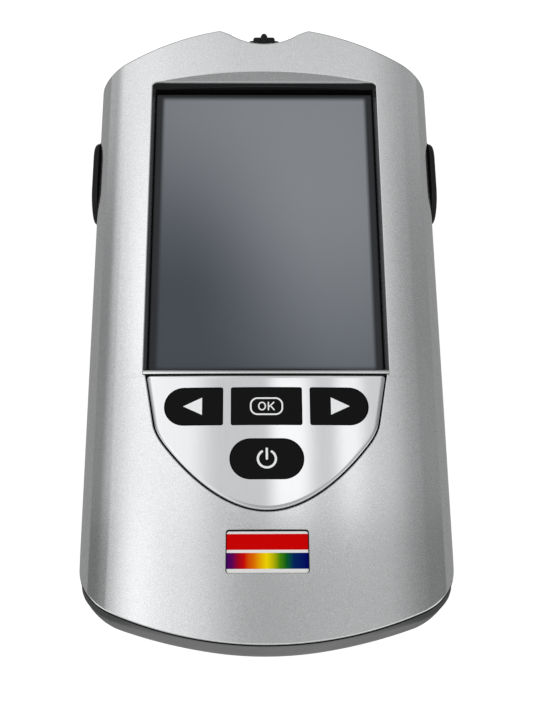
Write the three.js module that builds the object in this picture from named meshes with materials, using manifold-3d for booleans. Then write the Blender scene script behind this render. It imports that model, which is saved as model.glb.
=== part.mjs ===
// Handheld creatinine meter, lying on its back: X across, Y towards the strip port, Z out of the face.
// All lengths are millimetres. The origin is at the middle of the ground under the meter.
import * as THREE from 'three';
import { mergeVertices } from 'three/addons/utils/BufferGeometryUtils.js';
import Module from 'manifold-3d';

const wasm = await Module();
wasm.setup();

// Whole case
const CASE_WIDTH = 82.5;
const CASE_LENGTH = 153.2;
const CASE_DEPTH = 46;
const FRONT_WALL = 2.2;
const REAR_WALL = 2;
const SEAT_GAP = 0.3;
const OVERRUN = 4;

// Crowned face of the front shell, seen along the meter
const CROWN_RADIUS = 230;
const SHOULDER_RADIUS = 8;
const SIDE_DROP = 14;

// Plan of the case: head end with its notch, tail end with its wide corners
const HEAD_ARC = 70;
const HEAD_CORNER = 3.5;
const HORN_SPREAD = 22.2;
const HORN_ROUND = 1.2;
const NOTCH_DEPTH = 4.5;
const NOTCH_ARC = 14;
const NOTCH_MOUTH_SHARE = 0.766;
const TAIL_ARC = 82;
const TAIL_CORNER = 13.5;

// Rounding of the rear shell towards its back: how far in, and what share of the depth it takes up
const SIDE_ROUND_IN = 12;
const SIDE_ROUND_SHARE = 0.304;
const TAIL_ROUND_IN = 24;
const TAIL_ROUND_SHARE = 0.652;
const HEAD_ROUND_IN = 14;
const HEAD_ROUND_SHARE = 0.391;
const NOTCH_FADE = 5;
const NOTCH_BELOW_FACE = 10;

// Feet
const FOOT_STAND = 0.8;
const FOOT_RADIUS = 4;
const FOOT_SUNK = 0.8;
const FOOT_FROM_SIDE = 17.75;
const FOOT_FROM_TAIL = 29.6;
const FOOT_FROM_HEAD = 23.6;

// Display window
const WINDOW_FROM_SIDE = 13.35;
const WINDOW_FROM_HEAD = 14.7;
const WINDOW_FROM_TAIL = 61.6;
const WINDOW_CORNER = 1;
const WINDOW_SLOPE = 0.6;
const WINDOW_SILL = 2.3;
const BAR_WIDTH = 0.8;
const GLASS_UNDER_EDGE = 3.3;
const GLASS_THICK = 1.5;
const GLASS_MARGIN = 0.6;
const BEZEL_RIM = 1.4;
const LCD_THICK = 3.3;
const LCD_MARGIN = 0.4;
const LCD_TRAY_WALL = 0.8;
const LCD_TRAY_LIP = 0.9;

// Key panel: a shield whose half outline is set by its width at four heights
const PANEL_NARROWER = 1.6;
const PANEL_HEIGHT = 31.8;
const PANEL_FROM_BAR = 0.5;
const PANEL_GAP = 0.4;
const PANEL_THICK = 1.7;
const PANEL_BOW = 0.5;
const PANEL_LEDGE = 1.2;
const PANEL_RIM = 2;
const SIDE_FOOT_SHARES = [0.922, 0.375];
const BEND_SHARES = [0.897, 0.455];
const BEND_END_SHARES = [0.812, 0.545];
const SWEEP_SHARES = [0.609, 0.768];
const SWEEP_END_SHARES = [0.318, 1];

// Keys: one row of three and the power key under it, with widths as shares of the panel's
const KEY_ROW_FROM_TOP = 3.65;
const KEY_HEIGHT = 8.4;
const KEY_OK_SHARE = 0.284;
const KEY_SIDE_SHARE = 0.2344;
const KEY_SPACE_SHARE = 0.0415;
const KEY_CORNER = 0.3;
const POWER_SHARE = 0.2934;
const POWER_HEIGHT = 8.7;
const POWER_BELOW = 3.7;
const KEY_CLEARANCE = 0.25;
const KEY_FLANGE = 0.7;
const KEY_FLANGE_THICK = 0.8;
const KEY_TRAVEL = 0.4;
const KEY_STANDOFF = 0.1;
const PAD_RISE = 0.6;
const PAD_SHARE = 0.85;
const MAT_THICK = 1;
const MAT_MARGIN = 1.4;
const DOME_THICK = 0.25;
const KEY_BOARD_THICK = 1.2;
const HEADER_WIDTH = 18;
const HEADER_DEPTH = 4;

// Label under the key panel
const LABEL_WIDTH = 17.4;
const LABEL_HEIGHT = 9.6;
const LABEL_FROM_PANEL = 4;
const LABEL_RECESS = 0.9;
const LABEL_THICK = 0.35;

// Side scan buttons
const SCAN_LENGTH = 21.6;
const SCAN_HEIGHT = 13;
const SCAN_FROM_HEAD = 26;
const SCAN_PROUD = 2;
const SCAN_DOME = 1.1;
const SCAN_CLEARANCE = 0.3;
const SCAN_FLANGE = 1.1;
const SCAN_FLANGE_THICK = 1;
const SCAN_TRAVEL = 0.8;
const SWITCH_WIDTH = 6;
const SWITCH_DEPTH = 4.4;
const SWITCH_HEIGHT = 4;
const SWITCH_TIP = 1;

// Strip port in the notch
const PORT_LIP_WIDTH = 8.9;
const PORT_JAW_WIDTH = 6.2;
const PORT_RIB_WIDTH = 2.1;
const PORT_REACH = 3.2;
const PORT_RIB_REACH = 4.1;
const PORT_LIP_THICK = 1.4;
const PORT_JAW_THICK = 1.1;
const PORT_RIB_RISE = 1.3;
const PORT_TOP_DROP = 1.8;
const STRIP_THICK = 0.7;
const STRIP_WIDTH = 5.6;
const PORT_BODY_WIDTH = 14;
const PORT_BODY_DEPTH = 2.6;
const STRIP_BLOCK_WIDTH = 16;
const STRIP_BLOCK_DEPTH = 3.9;
const CONTACT_COUNT = 5;
const CONTACT_PITCH = 1;
const CONTACT_WIDTH = 0.4;
const CONTACT_THICK = 0.25;

// Circuit board and what stands on it
const BOARD_THICK = 1.6;
const BOARD_DROP = 19;
const SOLDER = 0.1;
const BOARD_FROM_SIDE = 10.25;
const BOARD_FROM_TAIL = 14.6;
const BOARD_FROM_HEAD = 10.6;
const BOARD_CORNER = 4;
const BOARD_SCREW_FROM_SIDE = 15.25;
const BOARD_SCREW_FROM_TAIL = 20.6;
const BOARD_SCREW_FROM_HEAD = 32.6;
const POST_RADIUS = 2.6;
const SHIELD_WIDTH = 28;
const SHIELD_HEIGHT = 2.4;
const SHIELD_SHARES = [0.43, 0.74];
const RADIO_WIDTH = 18;
const RADIO_HEIGHT = 2.2;
const RADIO_SHARES = [0.16, 0.34];
const SOUNDER_RADIUS = 6;
const SOUNDER_HEIGHT = 3.5;
const SOUNDER_FROM_SIDE = 22.25;
const SOUNDER_FROM_HEAD = 42.6;
const FLEX_WIDTH = 20;
const FLEX_THICK = 0.4;
const FLEX_REACH = 1.6;

// Barcode reader in the head end
const READER_WIDTH = 21;
const READER_LENGTH = 12;
const READER_BELOW_WINDOW = 3;
const READER_WINDOW_WIDTH = 17;
const READER_WINDOW_HEIGHT = 7;
const READER_WINDOW_THICK = 1.2;
const READER_WINDOW_SUNK = 0.5;
const READER_WINDOW_LEDGE = 1;

// Battery bay, its cover and the latch
const PACK_FROM_SIDE = 22.75;
const PACK_FROM_TAIL = 38.6;
const PACK_FROM_HEAD = 64.6;
const PACK_UNDER_BOARD = 7.3;
const BAY_CLEARANCE = 0.7;
const BAY_WALL = 1.4;
const COVER_THICK = 1.8;
const COVER_LEDGE = 2.3;
const COVER_GAP = 0.3;
const COVER_CORNER = 3;
const TONGUE_WIDTH = 6;
const TONGUE_SHARE = 0.703;
const TONGUE_REACH = 2.2;
const TONGUE_THICK = 1.1;
const LATCH_WIDTH = 12;
const LATCH_LENGTH = 6;
const LATCH_TRAVEL = 2;
const LATCH_FLANGE = 1.2;
const LATCH_FLANGE_THICK = 0.9;
const LATCH_NOSE_WIDTH = 8;
const PLUG_WIDTH = 12;
const PLUG_HEIGHT = 5;
const PLUG_DEPTH = 2;

// Dock socket in the tail end
const DOCK_WIDTH = 20;
const DOCK_HEIGHT = 6;
const DOCK_DEPTH = 9;
const DOCK_UNDER_BOARD = 4.4;
const DOCK_WALL = 1.2;
const DOCK_PIN_COUNT = 8;
const DOCK_PIN_PITCH = 2;
const DOCK_PIN_WIDTH = 0.9;
const DOCK_PIN_PROUD = 0.4;

// Screws
const CASE_SCREW_FROM_SIDE = 8.25;
const CASE_SCREW_FROM_TAIL = 30.6;
const CASE_SCREW_FROM_HEAD = 17.6;
const CASE_SCREW_RADIUS = 1.1;
const CASE_SCREW_HEAD = 2.1;
const CASE_SCREW_HEAD_THICK = 1.6;
const CASE_SCREW_REACH = 16;
const CASE_SCREW_BITE = 5;
const CASE_BOSS = 4.2;
const FRONT_BOSS = 2.6;
const SMALL_SCREW_RADIUS = 0.9;
const SMALL_SCREW_HEAD = 1.8;
const SMALL_SCREW_HEAD_THICK = 1;
const SMALL_SCREW_BITE = 4;

// Worked out from the sizes above
const HALF_WIDTH = CASE_WIDTH / 2;
const HALF_LENGTH = CASE_LENGTH / 2;
const FACE_Z = CASE_DEPTH;
const BACK_Z = FOOT_STAND;
const SIDE_ROUND_UP = SIDE_ROUND_SHARE * CASE_DEPTH;
const TAIL_ROUND_UP = TAIL_ROUND_SHARE * CASE_DEPTH;
const HEAD_ROUND_UP = HEAD_ROUND_SHARE * CASE_DEPTH;
const FLOOR_Z = BACK_Z + REAR_WALL;
const SEAM_Z = FACE_Z - SIDE_DROP;
const WINDOW_WIDTH = CASE_WIDTH - 2 * WINDOW_FROM_SIDE;
const WINDOW_TOP = HALF_LENGTH - WINDOW_FROM_HEAD;
const WINDOW_BOTTOM = WINDOW_FROM_TAIL - HALF_LENGTH;
const PANEL_WIDTH = WINDOW_WIDTH - PANEL_NARROWER;
const PANEL_TOP = WINDOW_BOTTOM - BAR_WIDTH - PANEL_FROM_BAR;
const PANEL_BOTTOM = PANEL_TOP - PANEL_HEIGHT;
const BOARD_TOP = FACE_Z - BOARD_DROP;
const BOARD_BOTTOM = BOARD_TOP - BOARD_THICK;
const KEY_OK_WIDTH = KEY_OK_SHARE * PANEL_WIDTH;
const KEY_SIDE_WIDTH = KEY_SIDE_SHARE * PANEL_WIDTH;
const KEY_SPACE = KEY_SPACE_SHARE * PANEL_WIDTH;
const POWER_WIDTH = POWER_SHARE * PANEL_WIDTH;
const PACK_WIDTH = CASE_WIDTH - 2 * PACK_FROM_SIDE;
const ROUND_STEPS = 16;
const HULL_STEPS = 6;

// Solids: a mesh in, a mesh out, and joins and cuts between them
function solid(geometry) {
  const bare = geometry.index ? geometry.toNonIndexed() : geometry.clone();
  bare.deleteAttribute('normal');
  bare.deleteAttribute('uv');
  const merged = mergeVertices(bare);
  const vertProperties = new Float32Array(merged.attributes.position.array);
  const triVerts = new Uint32Array(merged.index.array);
  return new wasm.Manifold(new wasm.Mesh({ numProp: 3, vertProperties, triVerts }));
}

function cut(body, ...tools) {
  return tools.reduce((rest, tool) => rest.subtract(tool), body);
}

function join(body, ...others) {
  return others.reduce((whole, other) => whole.add(other), body);
}

const group = new THREE.Group();

function add(name, body, material) {
  const result = body.getMesh();
  const geometry = new THREE.BufferGeometry();
  geometry.setAttribute('position', new THREE.BufferAttribute(result.vertProperties, 3));
  geometry.setIndex(new THREE.BufferAttribute(result.triVerts, 1));
  geometry.computeVertexNormals();
  const mesh = new THREE.Mesh(geometry, material);
  mesh.name = name;
  group.add(mesh);
}

// Basic forms. A prism is a flat outline raised from one height to another.
function raised(points, depth) {
  return new THREE.ExtrudeGeometry(new THREE.Shape(points), { depth, bevelEnabled: false });
}

function prism(points, low, high) {
  const geometry = raised(points, high - low);
  geometry.translate(0, 0, low);
  return solid(geometry);
}

// An outline in X and Z, carried along Y
function alongLength(points, low, high) {
  const geometry = raised(points, high - low);
  geometry.rotateX(Math.PI / 2);
  geometry.translate(0, high, 0);
  return solid(geometry);
}

// An outline in Y and Z, carried along X
function alongWidth(points, low, high) {
  const geometry = raised(points, high - low);
  geometry.applyMatrix4(new THREE.Matrix4().makeBasis(
    new THREE.Vector3(0, 1, 0), new THREE.Vector3(0, 0, 1), new THREE.Vector3(1, 0, 0)));
  geometry.translate(low, 0, 0);
  return solid(geometry);
}

function block(x, y, z) {
  const geometry = new THREE.BoxGeometry(x[1] - x[0], y[1] - y[0], z[1] - z[0]);
  geometry.translate((x[0] + x[1]) / 2, (y[0] + y[1]) / 2, (z[0] + z[1]) / 2);
  return solid(geometry);
}

function centred(width, y, z) {
  return block([-width / 2, width / 2], y, z);
}

function rod(radius, x, y, z) {
  const geometry = new THREE.CylinderGeometry(radius, radius, z[1] - z[0], ROUND_STEPS);
  geometry.rotateX(Math.PI / 2);
  geometry.translate(x, y, (z[0] + z[1]) / 2);
  return solid(geometry);
}

function arc(x, y, radius, from, to, steps) {
  const points = [];
  for (let i = 0; i <= steps; i += 1) {
    const turn = from + (to - from) * i / steps;
    points.push(new THREE.Vector2(x + radius * Math.cos(turn), y + radius * Math.sin(turn)));
  }
  return points;
}

// A rectangle whose left and right corners are rounded by their own radii
function roundedBox(x, y, left, right, steps = 4) {
  const turn = Math.PI / 2;
  return [
    ...arc(x[1] - right, y[0] + right, right, -turn, 0, steps),
    ...arc(x[1] - right, y[1] - right, right, 0, turn, steps),
    ...arc(x[0] + left, y[1] - left, left, turn, 2 * turn, steps),
    ...arc(x[0] + left, y[0] + left, left, 2 * turn, 3 * turn, steps),
  ].filter((point, i, all) => i === 0 || point.distanceTo(all[i - 1]) > SEAT_GAP / 100);
}

function centredBox(width, y, corner) {
  return roundedBox([-width / 2, width / 2], y, corner, corner);
}

// Moves every side of a convex outline, drawn anticlockwise, outwards by the same amount
function grown(points, amount) {
  return points.map((point, i) => {
    const before = points[(i + points.length - 1) % points.length];
    const after = points[(i + 1) % points.length];
    const one = new THREE.Vector2(point.y - before.y, before.x - point.x).normalize();
    const two = new THREE.Vector2(after.y - point.y, point.x - after.x).normalize();
    const middle = one.clone().add(two).normalize();
    return point.clone().addScaledVector(middle, amount / middle.dot(one));
  });
}

function mirrored(points) {
  return points.map((point) => new THREE.Vector2(-point.x, point.y)).reverse();
}

// A body carried through rings of points that lie at rising heights, closed flat at both ends
function lofted(rings, heights) {
  const count = rings[0].length;
  const points = rings.flatMap((ring, k) => ring.map((point) => [point.x, point.y, heights[k]]));
  const faces = [];
  for (let k = 0; k + 1 < rings.length; k += 1) {
    for (let i = 0; i < count; i += 1) {
      const low = k * count;
      const next = (i + 1) % count;
      const above = low + count;
      faces.push([low + i, low + next, above + next], [low + i, above + next, above + i]);
    }
  }
  const top = count * (rings.length - 1);
  THREE.ShapeUtils.triangulateShape(rings[0], []).forEach(([a, b, c]) => faces.push([c, b, a]));
  THREE.ShapeUtils.triangulateShape(rings[rings.length - 1], []).forEach(([a, b, c]) => {
    faces.push([top + a, top + b, top + c]);
  });
  const geometry = new THREE.BufferGeometry();
  const corners = faces.flat().flatMap((index) => points[index]);
  geometry.setAttribute('position', new THREE.BufferAttribute(new Float32Array(corners), 3));
  return geometry;
}

// Crown and shoulders of the face: two tangent arcs a side, moved inwards by an inset
const SHOULDER_TURN = Math.asin((HALF_WIDTH - SHOULDER_RADIUS) / (CROWN_RADIUS - SHOULDER_RADIUS));
const CROWN_AXIS_Z = FACE_Z - CROWN_RADIUS;
const SHOULDER_X = HALF_WIDTH - SHOULDER_RADIUS;
const SHOULDER_Z = CROWN_AXIS_Z + (CROWN_RADIUS - SHOULDER_RADIUS) * Math.cos(SHOULDER_TURN);

function faceHeight(x, inset = 0) {
  const side = Math.abs(x);
  if (side <= (CROWN_RADIUS - inset) * Math.sin(SHOULDER_TURN)) {
    return CROWN_AXIS_Z + Math.sqrt((CROWN_RADIUS - inset) ** 2 - side ** 2);
  }
  return SHOULDER_Z + Math.sqrt(Math.max(0, (SHOULDER_RADIUS - inset) ** 2 - (side - SHOULDER_X) ** 2));
}

function underFace(inset, low, from = -HALF_LENGTH - OVERRUN, to = HALF_LENGTH + OVERRUN) {
  const upright = Math.PI / 2;
  const shoulder = arc(SHOULDER_X, SHOULDER_Z, SHOULDER_RADIUS - inset, 0, upright - SHOULDER_TURN, 7);
  const crown = arc(0, CROWN_AXIS_Z, CROWN_RADIUS - inset, upright - SHOULDER_TURN, upright, 7).slice(1);
  const half = [new THREE.Vector2(HALF_WIDTH - inset, low), ...shoulder, ...crown];
  return alongLength([...half, ...mirrored(half).slice(1)], from, to);
}

// A crowned layer that lies between two depths under the face
function layer(upper, lower, from, to) {
  return cut(
    underFace(upper, SEAM_Z - OVERRUN, from, to),
    underFace(lower, SEAM_Z - 2 * OVERRUN, from, to),
  );
}

// Right half of the plan, from the tail centre round to the notch centre. At low levels the
// notch is filled, so a point there also carries the height of the filled edge.
const TAIL_CENTRE_Y = TAIL_ARC - HALF_LENGTH;
const TAIL_CORNER_X = HALF_WIDTH - TAIL_CORNER;
const TAIL_TURN = Math.asin(TAIL_CORNER_X / (TAIL_ARC - TAIL_CORNER));
const TAIL_CORNER_Y = TAIL_CENTRE_Y - (TAIL_ARC - TAIL_CORNER) * Math.cos(TAIL_TURN);
const HEAD_CENTRE_Y = HALF_LENGTH - Math.sqrt(HEAD_ARC ** 2 - (HORN_SPREAD / 2) ** 2);
const HEAD_CORNER_X = HALF_WIDTH - HEAD_CORNER;
const HEAD_TURN = Math.acos(HEAD_CORNER_X / (HEAD_ARC - HEAD_CORNER));
const HEAD_CORNER_Y = HEAD_CENTRE_Y + (HEAD_ARC - HEAD_CORNER) * Math.sin(HEAD_TURN);
const NOTCH_Y = HALF_LENGTH - NOTCH_DEPTH;
const NOTCH_TURN = Math.asin(NOTCH_MOUTH_SHARE * HORN_SPREAD / 2 / NOTCH_ARC);

function planHalf(inset) {
  const upright = Math.PI / 2;
  const hornTurn = Math.acos(HORN_SPREAD / 2 / (HEAD_ARC - inset));
  const tailCorner = Math.max(TAIL_CORNER - inset, SEAT_GAP);
  const headCorner = Math.max(HEAD_CORNER - inset, SEAT_GAP);
  const head = arc(0, HEAD_CENTRE_Y, HEAD_ARC - inset, HEAD_TURN, hornTurn, 6);
  const horn = head.pop();
  const notch = arc(0, NOTCH_Y + NOTCH_ARC, NOTCH_ARC + inset, NOTCH_TURN - upright, -upright, 3);
  const short = (next) => horn.clone().lerp(next, HORN_ROUND / horn.distanceTo(next));
  const before = short(head[head.length - 1]);
  const after = short(notch[0]);
  return [
    ...arc(0, TAIL_CENTRE_Y, TAIL_ARC - inset, -upright, TAIL_TURN - upright, 6),
    ...arc(TAIL_CORNER_X, TAIL_CORNER_Y, tailCorner, TAIL_TURN - upright, 0, 5).slice(1),
    ...arc(HEAD_CORNER_X, HEAD_CORNER_Y, headCorner, 0, HEAD_TURN, 3),
    ...head.slice(1),
    ...new THREE.QuadraticBezierCurve(before, horn, after).getPoints(2),
    ...notch,
  ];
}

function filledHead(x, inset) {
  return Math.min(HEAD_CENTRE_Y + Math.sqrt((HEAD_ARC - inset) ** 2 - x ** 2), HALF_LENGTH - inset);
}

function whole(half) {
  return [...half, ...mirrored(half).slice(1, -1)];
}

// How far a rounding has drawn the wall in at a given height
function drawnIn(z, base, inwards, upwards) {
  const left = Math.max(0, (base + upwards - z) / upwards);
  return inwards * (1 - Math.sqrt(Math.max(0, 1 - left ** 2)));
}

function hullRing(z, inset) {
  const base = BACK_Z + inset;
  const notchLow = FACE_Z - NOTCH_BELOW_FACE;
  const fade = THREE.MathUtils.smoothstep(z, notchLow - NOTCH_FADE, notchLow);
  const wide = 1 - drawnIn(z, base, SIDE_ROUND_IN - inset, SIDE_ROUND_UP - inset) / HALF_WIDTH;
  const tail = 1 - drawnIn(z, base, TAIL_ROUND_IN - inset, TAIL_ROUND_UP - inset) / HALF_LENGTH;
  const head = 1 - drawnIn(z, base, HEAD_ROUND_IN - inset, HEAD_ROUND_UP - inset) / HALF_LENGTH;
  return whole(planHalf(inset).map((point) => {
    const atHorns = point.y > 0 && point.x <= HORN_SPREAD / 2 + HORN_ROUND;
    const y = atHorns ? THREE.MathUtils.lerp(filledHead(point.x, inset), point.y, fade) : point.y;
    return new THREE.Vector2(point.x * wide, y * (y > 0 ? head : tail));
  }));
}

// The levels crowd together near the back, where the walls turn under
function hull(inset, top) {
  const base = BACK_Z + inset;
  const rise = TAIL_ROUND_UP - inset;
  const heights = [];
  for (let step = 0; step <= HULL_STEPS; step += 1) {
    heights.push(base + rise * (1 - Math.cos(step * Math.PI / 2 / HULL_STEPS)));
  }
  for (let step = 1; step <= 2; step += 1) {
    heights.push(Math.max(base + rise, FACE_Z - NOTCH_BELOW_FACE - NOTCH_FADE) + NOTCH_FADE * step / 2);
  }
  heights.push(top);
  return solid(lofted(heights.map((z) => hullRing(z, inset)), heights));
}

// Key panel outline: half widths and heights as shares of the panel, joined by two curves
function panelOutline() {
  const at = ([x, y]) => new THREE.Vector2(x * PANEL_WIDTH / 2, PANEL_TOP - y * PANEL_HEIGHT);
  const low = new THREE.Vector2(0, PANEL_BOTTOM);
  const bendEnd = at(BEND_END_SHARES);
  const sweep = new THREE.CubicBezierCurve(low, at(SWEEP_END_SHARES), at(SWEEP_SHARES), bendEnd);
  const bend = new THREE.QuadraticBezierCurve(bendEnd, at(BEND_SHARES), at(SIDE_FOOT_SHARES));
  const corner = new THREE.Vector2(PANEL_WIDTH / 2, PANEL_TOP);
  const middle = new THREE.Vector2(0, PANEL_TOP - PANEL_BOW);
  const bow = new THREE.QuadraticBezierCurve(corner, new THREE.Vector2(corner.x / 2, middle.y), middle);
  return whole([...sweep.getPoints(9), ...bend.getPoints(3).slice(1), ...bow.getPoints(4)]);
}

const panel = panelOutline();
const panelSeat = grown(panel, PANEL_GAP);
const seatDepth = PANEL_THICK + SEAT_GAP;
const frameDepth = seatDepth + PANEL_LEDGE;
const frameTop = PANEL_TOP + PANEL_GAP;

// Keys: corners and plan of each one
const rowTop = PANEL_TOP - KEY_ROW_FROM_TOP;
const rowBottom = rowTop - KEY_HEIGHT;
const sideKeyIn = KEY_OK_WIDTH / 2 + KEY_SPACE;
const sideKeyOut = sideKeyIn + KEY_SIDE_WIDTH;
const powerTop = rowBottom - POWER_BELOW;
const powerBottom = powerTop - POWER_HEIGHT;
const keyEnd = KEY_HEIGHT / 2 - KEY_CORNER / 10;
const keys = {
  key_left: roundedBox([-sideKeyOut, -sideKeyIn], [rowBottom, rowTop], keyEnd, KEY_CORNER),
  key_ok: centredBox(KEY_OK_WIDTH, [rowBottom, rowTop], KEY_CORNER),
  key_right: roundedBox([sideKeyIn, sideKeyOut], [rowBottom, rowTop], KEY_CORNER, keyEnd),
  key_power: centredBox(POWER_WIDTH, [powerBottom, powerTop], POWER_HEIGHT / 2 - KEY_CORNER / 10),
};
const keyFlangeTop = faceHeight(sideKeyOut + KEY_FLANGE) - PANEL_THICK - KEY_STANDOFF;
const keyFlangeBottom = keyFlangeTop - KEY_FLANGE_THICK;
const padTop = keyFlangeBottom - KEY_TRAVEL - KEY_STANDOFF;
const matBottom = padTop - PAD_RISE - MAT_THICK;
const keyBoardTop = matBottom - DOME_THICK - 2 * KEY_STANDOFF;
const keyBoardBottom = keyBoardTop - KEY_BOARD_THICK;
const keyBoardX = sideKeyOut + MAT_MARGIN;
const keyBoardY = [powerBottom - MAT_MARGIN - SMALL_SCREW_RADIUS, rowTop + MAT_MARGIN];
const keyScrewX = keyBoardX - SMALL_SCREW_HEAD - SEAT_GAP;
const keyScrewY = powerBottom + SMALL_SCREW_RADIUS;

// Materials
function finish(color, roughness, metalness) {
  return new THREE.MeshStandardMaterial({ color, roughness, metalness });
}

const silver = finish(0xb4b5b6, 0.42, 0.55);
const greyPlastic = finish(0x77797b, 0.5, 0.2);
const blackPlastic = finish(0x17171a, 0.45, 0);
const blackRubber = finish(0x1d1d1f, 0.8, 0);
const glossSilver = finish(0xd0d1d3, 0.18, 0.8);
const darkGlass = finish(0x60656c, 0.08, 0);
const displayGrey = finish(0x70757c, 0.3, 0);
const steel = finish(0xaeb0b3, 0.3, 0.95);
const gold = finish(0xd2a548, 0.3, 0.95);
const boardGreen = finish(0x1f5a3a, 0.5, 0);
const chipBlack = finish(0x202124, 0.6, 0);
const padGrey = finish(0xb9bab4, 0.7, 0);
const labelWhite = finish(0xe9eaeb, 0.4, 0);
const packBlue = finish(0x2c3a4c, 0.5, 0);
const flexAmber = finish(0xa8702a, 0.4, 0);
const readerRed = finish(0x3a0f14, 0.1, 0);

// Window: walls that lean in towards the glass, and a scooped bevel on the head side
function windowOutline(grow, tailGrow = grow) {
  const side = WINDOW_WIDTH / 2 + grow;
  return centredBox(2 * side, [WINDOW_BOTTOM - tailGrow, WINDOW_TOP + grow], WINDOW_CORNER);
}

const windowFlat = faceHeight(WINDOW_WIDTH / 2);
const glassTop = windowFlat - GLASS_UNDER_EDGE;
const glassBottom = glassTop - GLASS_THICK;
const windowLean = WINDOW_SLOPE / FRONT_WALL;
const windowFoot = windowFlat - FRONT_WALL - SEAT_GAP;
const windowHigh = FACE_Z + OVERRUN;
const windowFootGrow = (windowFoot - windowFlat) * windowLean;
const windowHole = solid(lofted(
  [windowOutline(windowFootGrow), windowOutline((windowHigh - windowFlat) * windowLean)],
  [windowFoot, windowHigh]));
const scoopReach = (windowHigh - windowFlat) * WINDOW_SILL / (FACE_Z - windowFlat);
const windowScoop = alongWidth([
  new THREE.Vector2(WINDOW_TOP - OVERRUN, windowFlat),
  new THREE.Vector2(WINDOW_TOP, windowFlat),
  new THREE.Vector2(WINDOW_TOP + scoopReach, windowHigh),
  new THREE.Vector2(WINDOW_TOP - OVERRUN, windowHigh),
], -WINDOW_WIDTH / 2, WINDOW_WIDTH / 2);

// Side buttons: a stadium outline in Y and Z, on the seam between the shells
const scanY = HALF_LENGTH - SCAN_FROM_HEAD - SCAN_LENGTH / 2;
function scanOutline(grow) {
  const round = SCAN_HEIGHT / 2 + grow - KEY_CORNER / 10;
  const y = [scanY - SCAN_LENGTH / 2 - grow, scanY + SCAN_LENGTH / 2 + grow];
  const z = [SEAM_Z - SCAN_HEIGHT / 2 - grow, SEAM_Z + SCAN_HEIGHT / 2 + grow];
  return roundedBox(y, z, round, round, 6);
}

function bothSides(build) {
  return [build(-1), build(1)];
}

function across(side, from, to) {
  return [from * side, to * side].sort((a, b) => a - b);
}

const scanHoles = bothSides((side) => {
  const reach = across(side, HALF_WIDTH - SHOULDER_RADIUS / 2, HALF_WIDTH + OVERRUN);
  return alongWidth(scanOutline(SCAN_CLEARANCE), ...reach);
});

// Label recess
const labelTop = PANEL_BOTTOM - LABEL_FROM_PANEL;
const labelBottom = labelTop - LABEL_HEIGHT;
const labelFloor = FACE_Z - LABEL_RECESS;

// Screw places
function fourPlaces(fromSide, fromTail, fromHead) {
  return bothSides((side) => side * (HALF_WIDTH - fromSide))
    .flatMap((x) => [[x, fromTail - HALF_LENGTH], [x, HALF_LENGTH - fromHead]]);
}

const caseScrews = fourPlaces(CASE_SCREW_FROM_SIDE, CASE_SCREW_FROM_TAIL, CASE_SCREW_FROM_HEAD);
const boardScrews = fourPlaces(BOARD_SCREW_FROM_SIDE, BOARD_SCREW_FROM_TAIL, BOARD_SCREW_FROM_HEAD);
const keyScrews = bothSides((side) => [side * keyScrewX, keyScrewY]);
const pilot = SMALL_SCREW_RADIUS + SOLDER;

// Front shell: crowned sheet cut to the plan, with a thicker rim round the key panel
const frontTop = FACE_Z + OVERRUN;
const plan = prism(whole(planHalf(0)), -OVERRUN, frontTop);
const frontInside = prism(whole(planHalf(REAR_WALL + SEAT_GAP)), -OVERRUN, frontTop);
const sheet = cut(underFace(0, SEAM_Z), underFace(FRONT_WALL, SEAM_Z - OVERRUN)).intersect(plan);
const panelRim = layer(FRONT_WALL / 2, frameDepth, -HALF_LENGTH, frameTop)
  .intersect(prism(grown(panelSeat, PANEL_RIM), 0, frontTop));
const caseBosses = caseScrews.map(([x, y]) => rod(FRONT_BOSS, x, y, [SEAM_Z - SEAT_GAP / 2, frontTop])
  .intersect(underFace(FRONT_WALL / 2, 0)).intersect(frontInside));
const keyBosses = keyScrews.map(([x, y]) => rod(POST_RADIUS, x, y, [keyBoardTop + SEAT_GAP, frontTop])
  .intersect(underFace(FRONT_WALL / 2, 0)));
const caseScrewTip = SEAM_Z + CASE_SCREW_BITE;
const caseScrewSeat = SEAM_Z - CASE_SCREW_REACH;
const caseScrewHole = [SEAM_Z - OVERRUN, caseScrewTip + SEAT_GAP];
add('front_shell', cut(
  join(sheet, panelRim, ...caseBosses, ...keyBosses),
  windowHole,
  windowScoop,
  prism(panelSeat, 0, frontTop).intersect(layer(-OVERRUN, seatDepth, -HALF_LENGTH, HALF_LENGTH)),
  prism(grown(panel, -PANEL_LEDGE), 0, frontTop),
  prism(centredBox(LABEL_WIDTH, [labelBottom, labelTop], KEY_CORNER), labelFloor, frontTop),
  ...scanHoles,
  ...caseScrews.map(([x, y]) => rod(CASE_SCREW_RADIUS + SOLDER, x, y, caseScrewHole)),
  ...keyScrews.map(([x, y]) => rod(pilot, x, y, [0, keyBoardTop + SMALL_SCREW_BITE])),
), silver);

add('label_plate', prism(
  centredBox(LABEL_WIDTH - 2 * SEAT_GAP, [labelBottom + SEAT_GAP, labelTop - SEAT_GAP], KEY_CORNER),
  labelFloor, labelFloor + LABEL_THICK), labelWhite);

// Display: black frame under the sheet, touch glass, panel and its tray, ribbon to the board
const glassX = WINDOW_WIDTH / 2 + GLASS_MARGIN;
const glassY = [WINDOW_BOTTOM - GLASS_MARGIN, WINDOW_TOP + GLASS_MARGIN];
add('display_bezel', cut(
  prism(windowOutline(BEZEL_RIM, GLASS_MARGIN), glassTop + SOLDER, FACE_Z),
  prism(windowOutline(windowFootGrow), 0, frontTop),
).intersect(underFace(FRONT_WALL + SEAT_GAP, 0)), blackPlastic);

add('touch_screen', block([-glassX, glassX], glassY, [glassBottom, glassTop]), darkGlass);

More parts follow.
